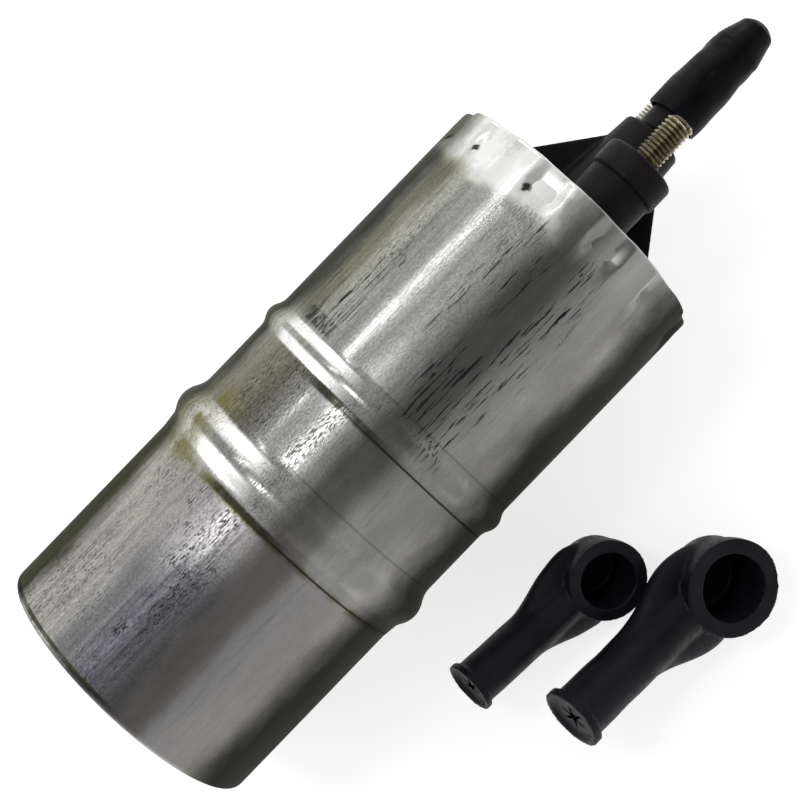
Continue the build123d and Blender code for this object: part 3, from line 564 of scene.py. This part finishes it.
    def set_shine(self):
        """The painted side shade and the painted rim highlight hide the metal, and wear, scratches and the
        painted side shade roughen it.
        """
        self.colour(self.sheet)
        bare = self.outside(self.side_shade, 0.05, smooth=False)
        self.metal(self.times(bare, self.outside(self.bloom, 0.55, smooth=False)))
        self.sheen(0.05)
        worn = self.step(self.noise(65.0, 6.0, 0.64, (0.4, 1, 1), (0.1, 0.5, 0.2)), 0.35, 0.7, 0.0, 0.10)
        self.rough(self.plus(worn, self.step(self.lines, 0.35, 0.75, 0.15, 0.24),
                             self.most(self.times(self.lower, 0.16), self.times(self.satin, 0.12)),
                             self.times(self.most(self.scratch, self.side_shade), 0.3)))

    def set_relief(self):
        """Shallow waves in the sheet under its fine draw lines and scratches."""
        waves = self.relief(self.noise(55.0, 3.0, 0.5, (0.35, 1, 1), (0.2, 0.7, 0.1)), 0.4, 0.0002)
        lines = self.plus(self.lines, self.times(self.mottle, 0.3))
        drawn = self.times(lines, self.outside(self.satin, 0.3, smooth=False))
        self.bump(self.less(drawn, self.times(self.scratch, 1.2)), 0.2, 0.00004, waves)


def can_metal(can):
    """Drawn aluminium with draw lines, black scratches, dried fuel and a polished rim, with painted shade
    along its sides, in its creases and at its stakes, and painted highlights on its beads and rim.
    """
    f = CanFinish(can)
    f.draw_sheet()
    f.polish_and_highlight_rim()
    f.paint_shade_bands()
    f.paint_bead_highlights()
    f.scratch_sheet()
    f.stain_bead()
    f.shade_creases()
    f.shade_stake_corners()
    f.shade_sides()
    f.set_shine()
    f.set_relief()
    return f.material


# Meshes

def placed(name, data):
    """A new object at the origin that shows a mesh, a lamp or a camera."""
    thing = bpy.data.objects.new(name, data)
    bpy.context.scene.collection.objects.link(thing)
    return thing


def mesh_object(name, verts, faces, smooth=True):
    mesh = bpy.data.meshes.new(name)
    mesh.from_pydata(verts, [], faces)
    bm = bmesh.new()
    bm.from_mesh(mesh)
    bmesh.ops.remove_doubles(bm, verts=bm.verts, dist=1e-7)
    bmesh.ops.recalc_face_normals(bm, faces=bm.faces)
    bm.to_mesh(mesh)
    bm.free()
    piece = placed(name, mesh)
    if smooth:
        mesh.shade_smooth()
    return piece


def sharpen(piece, angle):
    """Smooth shading that breaks where two faces meet at more than an angle."""
    piece.data.shade_smooth()
    piece.data.set_sharp_from_angle(angle=angle)


def turned_mesh(name, outline, segments, y, z):
    """A lathe shape about a line along X, from points of station and radius."""
    verts, faces = [], []
    for station, radius in outline:
        for i in range(segments):
            a = tau * i / segments
            verts.append((station, y + radius * sin(a), z + radius * cos(a)))
    for row in range(0, (len(outline) - 1) * segments, segments):
        for i in range(segments):
            n = (i + 1) % segments
            faces.append((row + i, row + n, row + segments + n, row + segments + i))
    return mesh_object(name, verts, faces)


def rounded(points, steps):
    """An outline of (station, radius, corner radius) points with its corners rounded."""
    line = []
    count = len(points)
    for i, (station, radius, bend) in enumerate(points):
        here = Vector((station, radius))
        before = Vector(points[i - 1][:2]) - here
        after = Vector(points[(i + 1) % count][:2]) - here
        if bend <= 0:
            line.append(tuple(here))
            continue
        half = before.angle(after) / 2
        reach = min(bend / tan(half), before.length * 0.49, after.length * 0.49)
        start, end = here + before.normalized() * reach, here + after.normalized() * reach
        for k in range(steps + 1):
            t = k / steps
            line.append(tuple(start.lerp(here, t).lerp(here.lerp(end, t), t)))
    return line


def skin_copy(name, node, cell, passes):
    """A fine even skin over a CAD solid, with its sharp edges softened."""
    source = frame["nodes"][node].data.copy()
    bm = bmesh.new()
    bm.from_mesh(source)
    bmesh.ops.remove_doubles(bm, verts=bm.verts, dist=2e-6)
    bm.to_mesh(source)
    bm.free()
    piece = placed(name, source)
    remesh = piece.modifiers.new("Skin", "REMESH")
    remesh.mode = "VOXEL"
    remesh.voxel_size = cell
    smooth = piece.modifiers.new("Soften", "SMOOTH")
    smooth.factor = 0.5
    smooth.iterations = passes
    return baked(piece)


def reshaped(piece, rule):
    """Moves each point of a piece to where a rule puts it."""
    mesh = piece.data
    moves = [rule(vert) for vert in mesh.vertices]
    mesh.vertices.foreach_set("co", [value for place in moves for value in place])
    mesh.update()


def dented(piece, size, depth):
    """Presses soft, shallow dents into a rubber piece, only inwards."""
    def pressed(vert):
        lump = noise.noise(vert.co / size) * 0.5 + 0.5
        return vert.co - vert.normal * depth * lump * lump
    reshaped(piece, pressed)


def baked(piece):
    """Applies a piece's modifiers to its mesh."""
    graph = bpy.context.evaluated_depsgraph_get()
    mesh = bpy.data.meshes.new_from_object(piece.evaluated_get(graph))
    old = piece.data
    piece.modifiers.clear()
    piece.data = mesh
    bpy.data.meshes.remove(old)
    mesh.name = piece.name
    mesh.shade_smooth()
    return piece


def finish_piece(piece, material, body, node):
    """Gives a piece its material and slot, and lets it ride in place of its node."""
    piece.data.materials.clear()
    piece.data.materials.append(material)
    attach(piece, body)
    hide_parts(node)


# Geometry Nodes

# Kind of a tree's input by the type of its default
SOCKETS = {float: "NodeSocketFloat", int: "NodeSocketInt", tuple: "NodeSocketVector"}


class Tree(Nodes):
    """A geometry node tree with a geometry, named sizes and a material as its inputs."""

    def __init__(self, name, **sizes):
        super().__init__(bpy.data.node_groups.new(name, "GeometryNodeTree"))
        face = self.tree.interface
        face.new_socket("Geometry", in_out="INPUT", socket_type="NodeSocketGeometry")
        face.new_socket("Geometry", in_out="OUTPUT", socket_type="NodeSocketGeometry")
        self.names = {}
        for label, default in sizes.items():
            socket = face.new_socket(label, in_out="INPUT", socket_type=SOCKETS[type(default)])
            socket.default_value = default
            self.names[label] = socket.identifier
        material = face.new_socket("Material", in_out="INPUT", socket_type="NodeSocketMaterial")
        self.names["Material"] = material.identifier
        self.inputs = self.node("NodeGroupInput").outputs

    def coil(self, line, profile):
        """Sweeps a profile along a spiral and lays it along X from its start."""
        upright = self.node("GeometryNodeSetCurveNormal", {"Curve": line.outputs["Curve"]}, mode="Z_UP")
        sweep = self.node("GeometryNodeCurveToMesh", {
            "Curve": upright.outputs["Curve"], "Profile Curve": profile, "Fill Caps": True})
        lay = self.node("GeometryNodeTransform", {
            "Geometry": sweep.outputs["Mesh"], "Translation": self.inputs["Start"],
            "Rotation": (0, pi / 2, 0)})
        return lay.outputs["Geometry"]

    def close(self, geometry):
        """Ends the tree as the export needs it: real geometry with its material."""
        real = self.node("GeometryNodeRealizeInstances", {"Geometry": geometry})
        dress = self.node("GeometryNodeSetMaterial", {
            "Geometry": real.outputs["Geometry"], "Material": self.inputs["Material"]})
        self.node("NodeGroupOutput", {"Geometry": dress.outputs["Geometry"]})
        return self

    def run(self, piece, **values):
        """Runs the tree on a piece and keeps the result as its plain mesh."""
        modifier = piece.modifiers.new(self.tree.name, "NODES")
        modifier.node_group = self.tree
        for name, value in values.items():
            modifier[self.names[name]] = value
        return baked(piece)


def thread_tree():
    """Winds a ridge round a stud that lies along X."""
    tree = Tree("Stud Thread", Radius=2.5 * MM, Depth=0.42 * MM, Pitch=0.8 * MM, Length=8.0 * MM,
                Start=(0, 0, 0), Steps=48)
    sizes = tree.inputs
    root = tree.less(sizes["Radius"], sizes["Depth"])
    line = tree.node("GeometryNodeCurveSpiral", {
        "Resolution": sizes["Steps"], "Rotations": tree.math("DIVIDE", sizes["Length"], sizes["Pitch"]),
        "Start Radius": root, "End Radius": root, "Height": sizes["Length"]})
    ridge = tree.node("GeometryNodeCurvePrimitiveCircle", {"Resolution": 4, "Radius": 1.0}, mode="RADIUS")
    size = tree.node("ShaderNodeCombineXYZ", {
        "X": sizes["Depth"], "Y": tree.times(sizes["Pitch"], 0.47), "Z": 1.0})
    shape = tree.node("GeometryNodeTransform", {
        "Geometry": ridge.outputs["Curve"], "Scale": size.outputs["Vector"]})
    join = tree.node("GeometryNodeJoinGeometry", {"Geometry": tree.coil(line, shape.outputs["Geometry"])})
    tree.put(sizes["Geometry"], join.inputs["Geometry"])
    return tree.close(join.outputs["Geometry"])


def spring_tree():
    """Winds a round wire into a spring that lies along X."""
    tree = Tree("Wound Spring", Radius=1.6 * MM, Wire=0.4 * MM, Length=5.0 * MM, Turns=6.0, Start=(0, 0, 0))
    sizes = tree.inputs
    line = tree.node("GeometryNodeCurveSpiral", {
        "Resolution": 28, "Rotations": sizes["Turns"],
        "Start Radius": sizes["Radius"], "End Radius": sizes["Radius"], "Height": sizes["Length"]})
    wire = tree.node("GeometryNodeCurvePrimitiveCircle", {
        "Resolution": 10, "Radius": tree.times(sizes["Wire"], 0.5)}, mode="RADIUS")
    return tree.close(tree.coil(line, wire.outputs["Curve"]))


def rim_stray(tree):
    """How the rim strays in or out from the axis: a noise that fades in over 4 mm from the start."""
    sizes = tree.inputs
    place = tree.node("GeometryNodeInputPosition").outputs["Position"]
    wander = tree.node("ShaderNodeTexNoise", {"Vector": place, "Scale": 160.0, "Detail": 1.0})
    parts = tree.node("ShaderNodeSeparateXYZ", {"Vector": place}).outputs
    share = tree.node("ShaderNodeMapRange", {
        "Value": parts["X"], "From Min": sizes["Start"], "From Max": tree.plus(sizes["Start"], 4 * MM),
    }, interpolation_type="SMOOTHSTEP")
    way = tree.less(wander.outputs["Fac"], 0.62)
    reach = tree.times(way, sizes["Unevenness"], 2.0, share.outputs["Result"])
    outward = tree.node("ShaderNodeCombineXYZ", {"Y": parts["Y"], "Z": parts["Z"]})
    unit = tree.node("ShaderNodeVectorMath", {0: outward.outputs["Vector"]}, operation="NORMALIZE")
    move = tree.node("ShaderNodeVectorMath", {0: unit.outputs["Vector"], "Scale": reach}, operation="SCALE")
    return move.outputs["Vector"]


def ring_tree():
    """Repeats one sector round the pump's axis, welds the sectors and makes the staked rim stray."""
    tree = Tree("Repeat Round Axis", Count=12, First=0.0, Weld=0.00001, Start=0.0, Unevenness=0.0)
    sizes = tree.inputs
    sector = tree.node("GeometryNodeGeometryToInstance", {"Geometry": sizes["Geometry"]})
    copies = tree.node("GeometryNodeDuplicateElements", {
        "Geometry": sector.outputs["Instances"], "Amount": sizes["Count"]}, domain="INSTANCE")
    turn = tree.times(copies.outputs["Duplicate Index"], tree.math("DIVIDE", tau, sizes["Count"]))
    about = tree.node("ShaderNodeCombineXYZ", {"X": tree.plus(turn, sizes["First"])})
    spin = tree.node("GeometryNodeRotateInstances", {
        "Instances": copies.outputs["Geometry"], "Rotation": about.outputs["Vector"], "Local Space": False})
    real = tree.node("GeometryNodeRealizeInstances", {"Geometry": spin.outputs["Instances"]})
    weld = tree.node("GeometryNodeMergeByDistance", {
        "Geometry": real.outputs["Geometry"], "Distance": sizes["Weld"]})
    stray = tree.node("GeometryNodeSetPosition", {
        "Geometry": weld.outputs["Geometry"], "Offset": rim_stray(tree)})
    return tree.close(stray.outputs["Geometry"])


# Can

def bead_rise(station):
    """How far the beads lift the can's wall at a station."""
    rise = 0.0
    for middle, width, height in BEADS:
        t = abs(station - INLET_END - middle) / (width / 2)
        if t < 1:
            rise += height * (1 - 2 * t * t if t < 0.5 else 2 * (1 - t) ** 2)
    return rise


def ease(value, low, high):
    """0 below low, 1 above high and smooth between."""
    t = min(1.0, max(0.0, (value - low) / (high - low)))
    return t * t * (3 - 2 * t)


def wall_stations(start, end, fine, finest, coarse):
    """Stations along the wall, closer together over the beads and closest over the stakes."""
    stations = [start]
    while stations[-1] < end - finest:
        here = stations[-1]
        near_bead = any(abs(here - INLET_END - middle) < width / 2 + fine for middle, width, _ in BEADS)
        near_stake = here > OUTLET_END - STAKE_LENGTH - 0.8 * MM
        step = finest if near_stake else fine if near_bead else coarse
        stations.append(min(here + step, end))
    return stations


def inner_stations():
    return wall_stations(INLET_END + LIP, OUTLET_END - LIP, 1.3 * MM, 1.5 * MM, 9 * MM)


def can_outline(can):
    """The can's wall in section: outside from inlet to outlet, then back along the inside."""
    radius, inner = can.radius, can.radius - can.wall
    turn_in = 3 * MM
    inlet_lip = (INLET_END + LIP, radius - INLET_LIP)
    outlet_lip = (OUTLET_END - LIP, radius - OUTLET_LIP)
    inlet = rounded([(INLET_END + turn_in, radius, 0), (INLET_END, radius, 2.2 * MM),
                     (INLET_END, radius - INLET_LIP, 0.4 * MM), (*inlet_lip, 0)], 10)[1:-1]
    outlet = rounded([(OUTLET_END - turn_in, radius, 0), (OUTLET_END, radius, 1.5 * MM),
                      (OUTLET_END, radius - OUTLET_LIP, 0.3 * MM), (*outlet_lip, 0)], 9)[1:-1]
    outer = wall_stations(INLET_END + turn_in, OUTLET_END - 1.6 * MM, 0.4 * MM, 0.16 * MM, 3 * MM)
    outside = [(s, radius + bead_rise(s)) for s in outer]
    inside = [(s, inner + bead_rise(s)) for s in inner_stations()]
    return inlet[::-1] + outside + outlet + [outlet_lip] + inside[::-1] + [inlet_lip]


def stake_dent(can, station, angle):
    """Depth of a stake: a sheared slot at its inner end, soft sides and shallower towards the rim."""
    across = abs(angle) * can.radius
    half = can.stake_width / 2
    side = 1 - ease(across, 0.35 * half, 1.05 * half)
    start = OUTLET_END - STAKE_LENGTH + 0.5 * MM * (across / half) ** 2
    entry = ease(station, start - 0.1 * MM, start + 0.4 * MM)
    fade = 1 - 0.5 * ease(station, start + 0.8 * MM, OUTLET_END)
    slot = 1 - ease(abs(station - start - 0.55 * MM), 0.15 * MM, 0.55 * MM)
    slot *= 1 - ease(across, 0.5 * half, 0.8 * half)
    return can.stake_depth * (1.3 * side * entry * fade + 0.8 * slot)


def can_sector(can):
    """One sector of the can with a stake in its middle; the tree repeats it round the axis."""
    half_sector = pi / can.stake_count
    columns = 46
    outline = can_outline(can)
    turning = len(outline) - len(inner_stations()) - 1
    verts, faces = [], []
    for row, (station, radius) in enumerate(outline):
        for i in range(columns + 1):
            angle = half_sector * (2 * i / columns - 1)
            r = radius - (stake_dent(can, station, angle) if row < turning else 0.0)
            verts.append((station, r * sin(angle), r * cos(angle)))
    width = columns + 1
    for j in range(len(outline)):
        k = (j + 1) % len(outline)
        for i in range(columns):
            faces.append((j * width + i, j * width + i + 1, k * width + i + 1, k * width + i))
    return mesh_object("can_wall", verts, faces)


class FUELPUMP_OT_can(bpy.types.Operator):
    """Makes the beaded can with the ring of stakes at its outlet end"""
    bl_idname = "fuelpump.can"
    bl_label = "Can"

    def execute(self, context):
        can = context.scene.pump_can
        metal = can_metal(can)
        wall = can_sector(can)
        ring_tree().run(wall, Count=can.stake_count, First=pi / can.stake_count,
                        Start=OUTLET_END - STAKE_LENGTH, Unevenness=can.unevenness, Material=metal)
        sharpen(wall, radians(40))
        finish_piece(wall, metal, "pump_body", "housing_can")
        return {"FINISHED"}


# Head

class FUELPUMP_OT_head(bpy.types.Operator):
    """Makes the moulded end cover with softened edges"""
    bl_idname = "fuelpump.head"
    bl_label = "End cover"

    def execute(self, context):
        cover = skin_copy("end_cover_moulding", "end_cover", cell=0.30 * MM, passes=2)
        finish_piece(cover, head_plastic(context.scene.pump_head), "pump_body", "end_cover")
        return {"FINISHED"}


# Studs: size word, thread radius, slot, and the colour of the thread's root, painted dark as shade
STUDS = (
    ("large", 2.5 * MM, "plated_stud", (0.10, 0.08, 0.045)),
    ("small", 2.0 * MM, "bright_stud", (0.35, 0.33, 0.29)),
)
BRIGHT_CREST = (0.86, 0.85, 0.82)


class FUELPUMP_OT_studs(bpy.types.Operator):
    """Makes both terminal studs with their threads"""
    bl_idname = "fuelpump.studs"
    bl_label = "Terminal studs"

    def execute(self, context):
        head = context.scene.pump_head
        crests = {"large": tuple(head.plating), "small": BRIGHT_CREST}
        pitches = {"large": head.thread_pitch, "small": head.fine_pitch}
        tree = thread_tree()
        for word, radius, slot, root_shade in STUDS:
            node = f"{word}_terminal_stud"
            low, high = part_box(node)
            y, z = (low.y + high.y) / 2, (low.z + high.z) / 2
            tip = high.x
            depth = head.thread_depth
            root = radius - depth
            material = plated_thread(f"{word}_stud_plating", crests[word], root_shade, y, z, radius, depth)
            outline = [(low.x, 0), (low.x, radius), (BOSS_TOP - 2 * MM, radius), (BOSS_TOP - 1.6 * MM, root),
                       (tip - 0.5 * MM, root), (tip, root - 0.45 * MM), (tip, 0)]
            stud = turned_mesh(f"{word}_stud_thread", outline, 48, y, z)
            tree.run(stud, Radius=radius, Depth=depth, Pitch=pitches[word],
                     Length=tip - BOSS_TOP + 1.0 * MM, Start=(BOSS_TOP - 1.4 * MM, y, z), Material=material)
            sharpen(stud, radians(35))
            finish_piece(stud, material, "pump_body", node)
        return {"FINISHED"}


# Cap and boots

class FUELPUMP_OT_cap(bpy.types.Operator):
    """Makes the soft cap on the outlet"""
    bl_idname = "fuelpump.cap"
    bl_label = "Outlet cap"

    def execute(self, context):
        rubber = soft_rubber("cap_rubber", scaled(context.scene.pump_rubber.rubber, 0.3), 0.42, sheen=0.12)
        cap = skin_copy("outlet_cap_skin", "outlet_cap", cell=0.22 * MM, passes=3)
        dented(cap, size=5 * MM, depth=0.9 * MM)
        finish_piece(cap, rubber, "cap", "outlet_cap")
        return {"FINISHED"}


# Each boot: the middle of its leg's end, the way the leg points, the way up on that face, and its size
BOOTS = {
    "large": (Vector((-37.714, -60.373, -4.96)) * MM, Vector((-0.9189, 0.1117, 0.3783)),
              Vector((-0.3289, 0.3125, -0.8912)), 1.0),
    "small": (Vector((-46.76, -44.556, -10.243)) * MM, Vector((-0.9385, 0.1107, 0.3271)),
              Vector((-0.2727, 0.3437, -0.8986)), 0.84),
}


def hollowed_end(piece, middle, out, size):
    """Sinks the leg's end face inside its rim."""
    def sunk(vert):
        apart = vert.co - middle
        along = apart.dot(out)
        reach = (apart - out * along).length
        sink = ease(along, -1.0 * MM, -0.4 * MM) * (1 - ease(reach, 4.2 * size * MM, 5.1 * size * MM))
        return vert.co - out * sink * 0.7 * MM
    reshaped(piece, sunk)


class FUELPUMP_OT_boots(bpy.types.Operator):
    """Makes the two rubber elbow boots"""
    bl_idname = "fuelpump.boots"
    bl_label = "Terminal boots"

    def execute(self, context):
        settings = context.scene.pump_rubber
        for word, (middle, out, up, size) in BOOTS.items():
            rubber = soft_rubber(f"{word}_boot_rubber", settings.rubber, 0.48, (middle, out, up, size))
            boot = skin_copy(f"{word}_boot_skin", f"{word}_terminal_boot", cell=settings.voxel, passes=3)
            hollowed_end(boot, middle, out, size)
            dented(boot, size=7 * MM, depth=0.5 * MM)
            finish_piece(boot, rubber, f"{word}_boot", f"{word}_terminal_boot")
        return {"FINISHED"}


# The solids that show as they are, or hide inside

def solid_finishes():
    """Materials of the plain solids, by the slot that each solid has in the frame."""
    return {
        "cast_cover": die_cast_metal(),
        "seal_rubber": soft_rubber("seal_rubber", (0.02, 0.02, 0.02), 0.6),
        "turned_brass": worked_metal("turned_brass", (0.72, 0.55, 0.26), 0.3, 1200, (3, 0.2, 0.2)),
        "sintered_steel": worked_metal("sintered_steel", (0.30, 0.30, 0.31), 0.45, 2200,
                                       change=0.35, bump=0.4),
        "spring_steel": worked_metal("spring_steel", (0.50, 0.50, 0.52), 0.28),
        "bearing_steel": worked_metal("ground_steel", (0.70, 0.70, 0.71), 0.14, 1800, (0.1, 1, 1),
                                      change=0.1, bump=0.05),
        "bush_bronze": worked_metal("sintered_bronze", (0.52, 0.34, 0.16), 0.42, 2400, bump=0.4),
        "lamination_steel": worked_metal("laminations", (0.33, 0.34, 0.36), 0.4, 1600, (12, 0.1, 0.1),
                                         change=0.3, bump=0.6),
        "winding_copper": worked_metal("enamelled_wire", (0.50, 0.17, 0.06), 0.25, 1500, (0.1, 1, 1),
                                       change=0.35, bump=0.9),
        "commutator_copper": worked_metal("commutator_copper", (0.72, 0.38, 0.24), 0.3, 1500,
                                          change=0.3, bump=0.2),
        "hub_plastic": dull_solid("hub_plastic", (0.09, 0.04, 0.025), 0.5),
        "pale_plastic": dull_solid("pale_plastic", (0.66, 0.62, 0.50), 0.5, change=0.12),
        "pole_steel": worked_metal("pole_steel", (0.36, 0.36, 0.38), 0.4),
        "ferrite": dull_solid("ferrite", (0.045, 0.045, 0.05), 0.55, 1600, change=0.3, bump=0.5),
        "holder_plastic": dull_solid("holder_plastic", (0.10, 0.10, 0.11), 0.5),
        "brush_carbon": dull_solid("brush_carbon", (0.03, 0.03, 0.03), 0.5, 2000),
        "choke_wire": worked_metal("choke_wire", (0.48, 0.18, 0.07), 0.25, 1500, (12, 0.1, 0.1),
                                   change=0.35, bump=0.9),
        "strip_copper": worked_metal("strip_copper", (0.68, 0.38, 0.24), 0.32),
    }


class FUELPUMP_OT_solids(bpy.types.Operator):
    """Gives every other solid of the frame its finish"""
    bl_idname = "fuelpump.solids"
    bl_label = "Covers and inner pieces"

    def execute(self, context):
        made = solid_finishes()
        slots = {part["node"]: part["material_slot"] for part in frame["record"]["subparts"]}
        for name, node in frame["nodes"].items():
            if slots[name] in made:
                node.data.materials.clear()
                node.data.materials.append(made[slots[name]])
        return {"FINISHED"}


# Springs: node, wire, turns, the joint that presses it, how far that goes, and which end stays put
SPRINGS = (
    ("relief_valve_spring", 0.45 * MM, 5.0, "relief_ball_lift", 1.0 * MM, "low"),
    ("check_valve_spring", 0.50 * MM, 6.0, "check_valve_lift", 3.0 * MM, "high"),
    ("brush_spring_left", 0.40 * MM, 6.0, "brush_left_slide", 2.0 * MM, "high"),
    ("brush_spring_right", 0.40 * MM, 6.0, "brush_right_slide", 2.0 * MM, "high"),
)


class FUELPUMP_OT_springs(bpy.types.Operator):
    """Winds the springs of both valves and both brushes"""
    bl_idname = "fuelpump.springs"
    bl_label = "Springs"

    def execute(self, context):
        tree = spring_tree()
        for node, wire, turns, joint, travel, fixed in SPRINGS:
            low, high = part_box(node)
            middle = (low + high) / 2
            radius = (high.y - low.y - wire) / 2
            material = frame["nodes"][node].data.materials[0]
            spring = mesh_object(f"{node}_wire", [middle], [])
            tree.run(spring, Radius=radius, Wire=wire, Length=high.x - low.x - wire, Turns=turns,
                     Start=(low.x + wire / 2, middle.y, middle.z), Material=material)
            finish_piece(spring, material, "pump_body", node)
            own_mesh(spring)
        return {"FINISHED"}


# Stage

# Grey levels of the room by angle in degrees, from straight up towards +Y
ROOM_BANDS = (
    (-180, 0.3), (-100, 0.3), (-88, 0.40), (-74, 0.68), (-46, 0.68), (-34, 0.40), (-24, 0.17), (-4, 0.13),
    (8, 0.38), (22, 0.66), (70, 0.78), (84, 0.95), (106, 0.95), (120, 0.3), (180, 0.3),
)

# Lamps of the light streaks: name, angle about the axis, station, turn, distance, size and power
STREAK_LAMPS = (
    ("streak_lamp", 50, 0.08, -14, 0.75, (0.30, 0.02), 0.25),
    ("low_streak_lamp", 28, -0.17, -22, 0.75, (0.22, 0.10), 0.8),
)

# Lamps beyond the pump's ends: name, place, size and power
END_LAMPS = (
    ("inlet_end_lamp", (-0.9, 1.15, 0.34), (0.6, 0.6), 4.5),
    ("outlet_end_lamp", (0.9, 1.15, 0.34), (0.6, 0.6), 4.5),
)

# Half the floor's width in metres, the pump's station in the picture's middle, and the sensor's millimetres
FLOOR_REACH = 9
PICTURE_MIDDLE = INLET_END + 67.0 * MM
SENSOR_WIDTH = 36.0


def area_light(name, size, power, place, target):
    """A soft box whose long side lies along X and which faces a point."""
    lamp = bpy.data.lights.new(name, "AREA")
    lamp.shape = "RECTANGLE"
    lamp.size, lamp.size_y = size
    lamp.energy = power
    holder = placed(name, lamp)
    holder.location = place
    away = (Vector(place) - Vector(target)).normalized()
    side = away.cross(Vector((1, 0, 0))).normalized() if abs(away.x) < 0.5 else Vector((0, 1, 0))
    along = side.cross(away)
    holder.rotation_euler = Matrix((along, side, away)).transposed().to_euler()
    return holder


def studio_lamps():
    for name, angle, station, turn, distance, size, power in STREAK_LAMPS:
        a = radians(angle)
        place = Vector((station, distance * sin(a), distance * cos(a)))
        lamp = area_light(name, size, power, place, (station, 0, 0))
        lamp.rotation_euler.rotate_axis("Z", radians(turn))
    for name, place, size, power in END_LAMPS:
        area_light(name, size, power, place, (0, 0, 0))


def studio_world():
    """A grey room: a dark patch overhead, a broad window on the -Y side and a paler wall on +Y."""
    world = bpy.data.worlds.new("studio")
    world.use_nodes = True
    sky = Nodes(world.node_tree)
    view = sky.node("ShaderNodeTexCoord")
    parts = sky.node("ShaderNodeSeparateXYZ", {"Vector": view.outputs["Generated"]}).outputs
    lean = sky.math("ARCTAN2", parts["Y"], parts["Z"])
    share = sky.node("ShaderNodeMapRange", {"Value": lean, "From Min": -pi, "From Max": pi})
    ramp = sky.node("ShaderNodeValToRGB", {"Fac": share.outputs["Result"]})
    stops = ramp.color_ramp.elements
    while len(stops) < len(ROOM_BANDS):
        stops.new(0.5)
    for stop, (angle, level) in zip(stops, ROOM_BANDS):
        stop.position = (angle + 180) / 360
        stop.color = (level, level, level, 1)
    back = world.node_tree.nodes["Background"]
    sky.put(ramp.outputs["Color"], back.inputs["Color"])
    back.inputs["Strength"].default_value = 1.0
    return world


def studio_floor(stage):
    """A pale floor with a glow that only the camera, reflections and clear pieces see."""
    corners = ((-1, -1), (1, -1), (1, 1), (-1, 1))
    verts = [(FLOOR_REACH * x, FLOOR_REACH * y, FLOOR_Z) for x, y in corners]
    floor = mesh_object("floor", verts, [(0, 1, 2, 3)], smooth=False)
    f = Finish("pale_floor")
    pale = tuple(stage.floor)
    f.colour(f.mix(f.noise(3.0, 2.0, 0.5), pale, scaled(pale, 0.985)))
    f.rough(0.9)
    f.sheen(0.0)
    ray = f.node("ShaderNodeLightPath").outputs
    seen = f.most(ray["Is Camera Ray"], ray["Is Glossy Ray"], ray["Is Transmission Ray"])
    f.put((1, 1, 1), f.shader.inputs["Emission Color"])
    f.put(f.times(seen, stage.glow), f.shader.inputs["Emission Strength"])
    floor.data.materials.append(f.material)


def photo_camera(stage):
    """Looks straight down on the pump, turned so that its axis lies as in the photograph."""
    lens = bpy.data.cameras.new("photo_camera")
    lens.sensor_fit = "HORIZONTAL"
    lens.sensor_width = SENSOR_WIDTH
    lens.lens = stage.lens
    lens.clip_start, lens.clip_end = 0.01, 10.0
    camera = placed("photo_camera", lens)
    camera.location = (PICTURE_MIDDLE, 0, stage.camera_height)
    camera.rotation_euler = Euler((0, 0, -stage.camera_turn))
    return camera


class FUELPUMP_OT_stage(bpy.types.Operator):
    """Makes the floor, the lights, the world and the camera"""
    bl_idname = "fuelpump.stage"
    bl_label = "Stage"

    def execute(self, context):
        scene = context.scene
        scene.view_settings.view_transform = "Standard"
        studio_floor(scene.pump_stage)
        scene.world = studio_world()
        studio_lamps()
        scene.camera = photo_camera(scene.pump_stage)
        return {"FINISHED"}


class FUELPUMP_PT_panel(bpy.types.Panel):
    """Lists the settings and the pieces of the pump"""
    bl_label = "Fuel Pump"
    bl_idname = "FUELPUMP_PT_panel"
    bl_space_type = "VIEW_3D"
    bl_region_type = "UI"
    bl_category = "Fuel Pump"

    def draw(self, context):
        column = self.layout.column()
        for group in SETTINGS:
            settings = getattr(context.scene, group)
            for name in settings.__annotations__:
                column.prop(settings, name)
        for operator in OPERATORS:
            column.operator(operator.bl_idname)


OPERATORS = (FUELPUMP_OT_solids, FUELPUMP_OT_springs, FUELPUMP_OT_can, FUELPUMP_OT_head, FUELPUMP_OT_studs,
             FUELPUMP_OT_cap, FUELPUMP_OT_boots, FUELPUMP_OT_stage)
SETTINGS = {"pump_can": PumpCanSettings, "pump_head": PumpHeadSettings, "pump_rubber": PumpRubberSettings,
            "pump_stage": PumpStageSettings}


def register():
    for kind in (*SETTINGS.values(), *OPERATORS, FUELPUMP_PT_panel):
        bpy.utils.register_class(kind)
    for name, kind in SETTINGS.items():
        setattr(bpy.types.Scene, name, PointerProperty(type=kind))


def unregister():
    for name in SETTINGS:
        delattr(bpy.types.Scene, name)
    for kind in reversed((*SETTINGS.values(), *OPERATORS, FUELPUMP_PT_panel)):
        bpy.utils.unregister_class(kind)


def main():
    register()
    bpy.ops.fuelpump.solids()
    bpy.ops.fuelpump.springs()
    bpy.ops.fuelpump.can()
    bpy.ops.fuelpump.head()
    bpy.ops.fuelpump.studs()
    bpy.ops.fuelpump.cap()
    bpy.ops.fuelpump.boots()
    bpy.ops.fuelpump.stage()


if __name__ == "__main__":
    main()
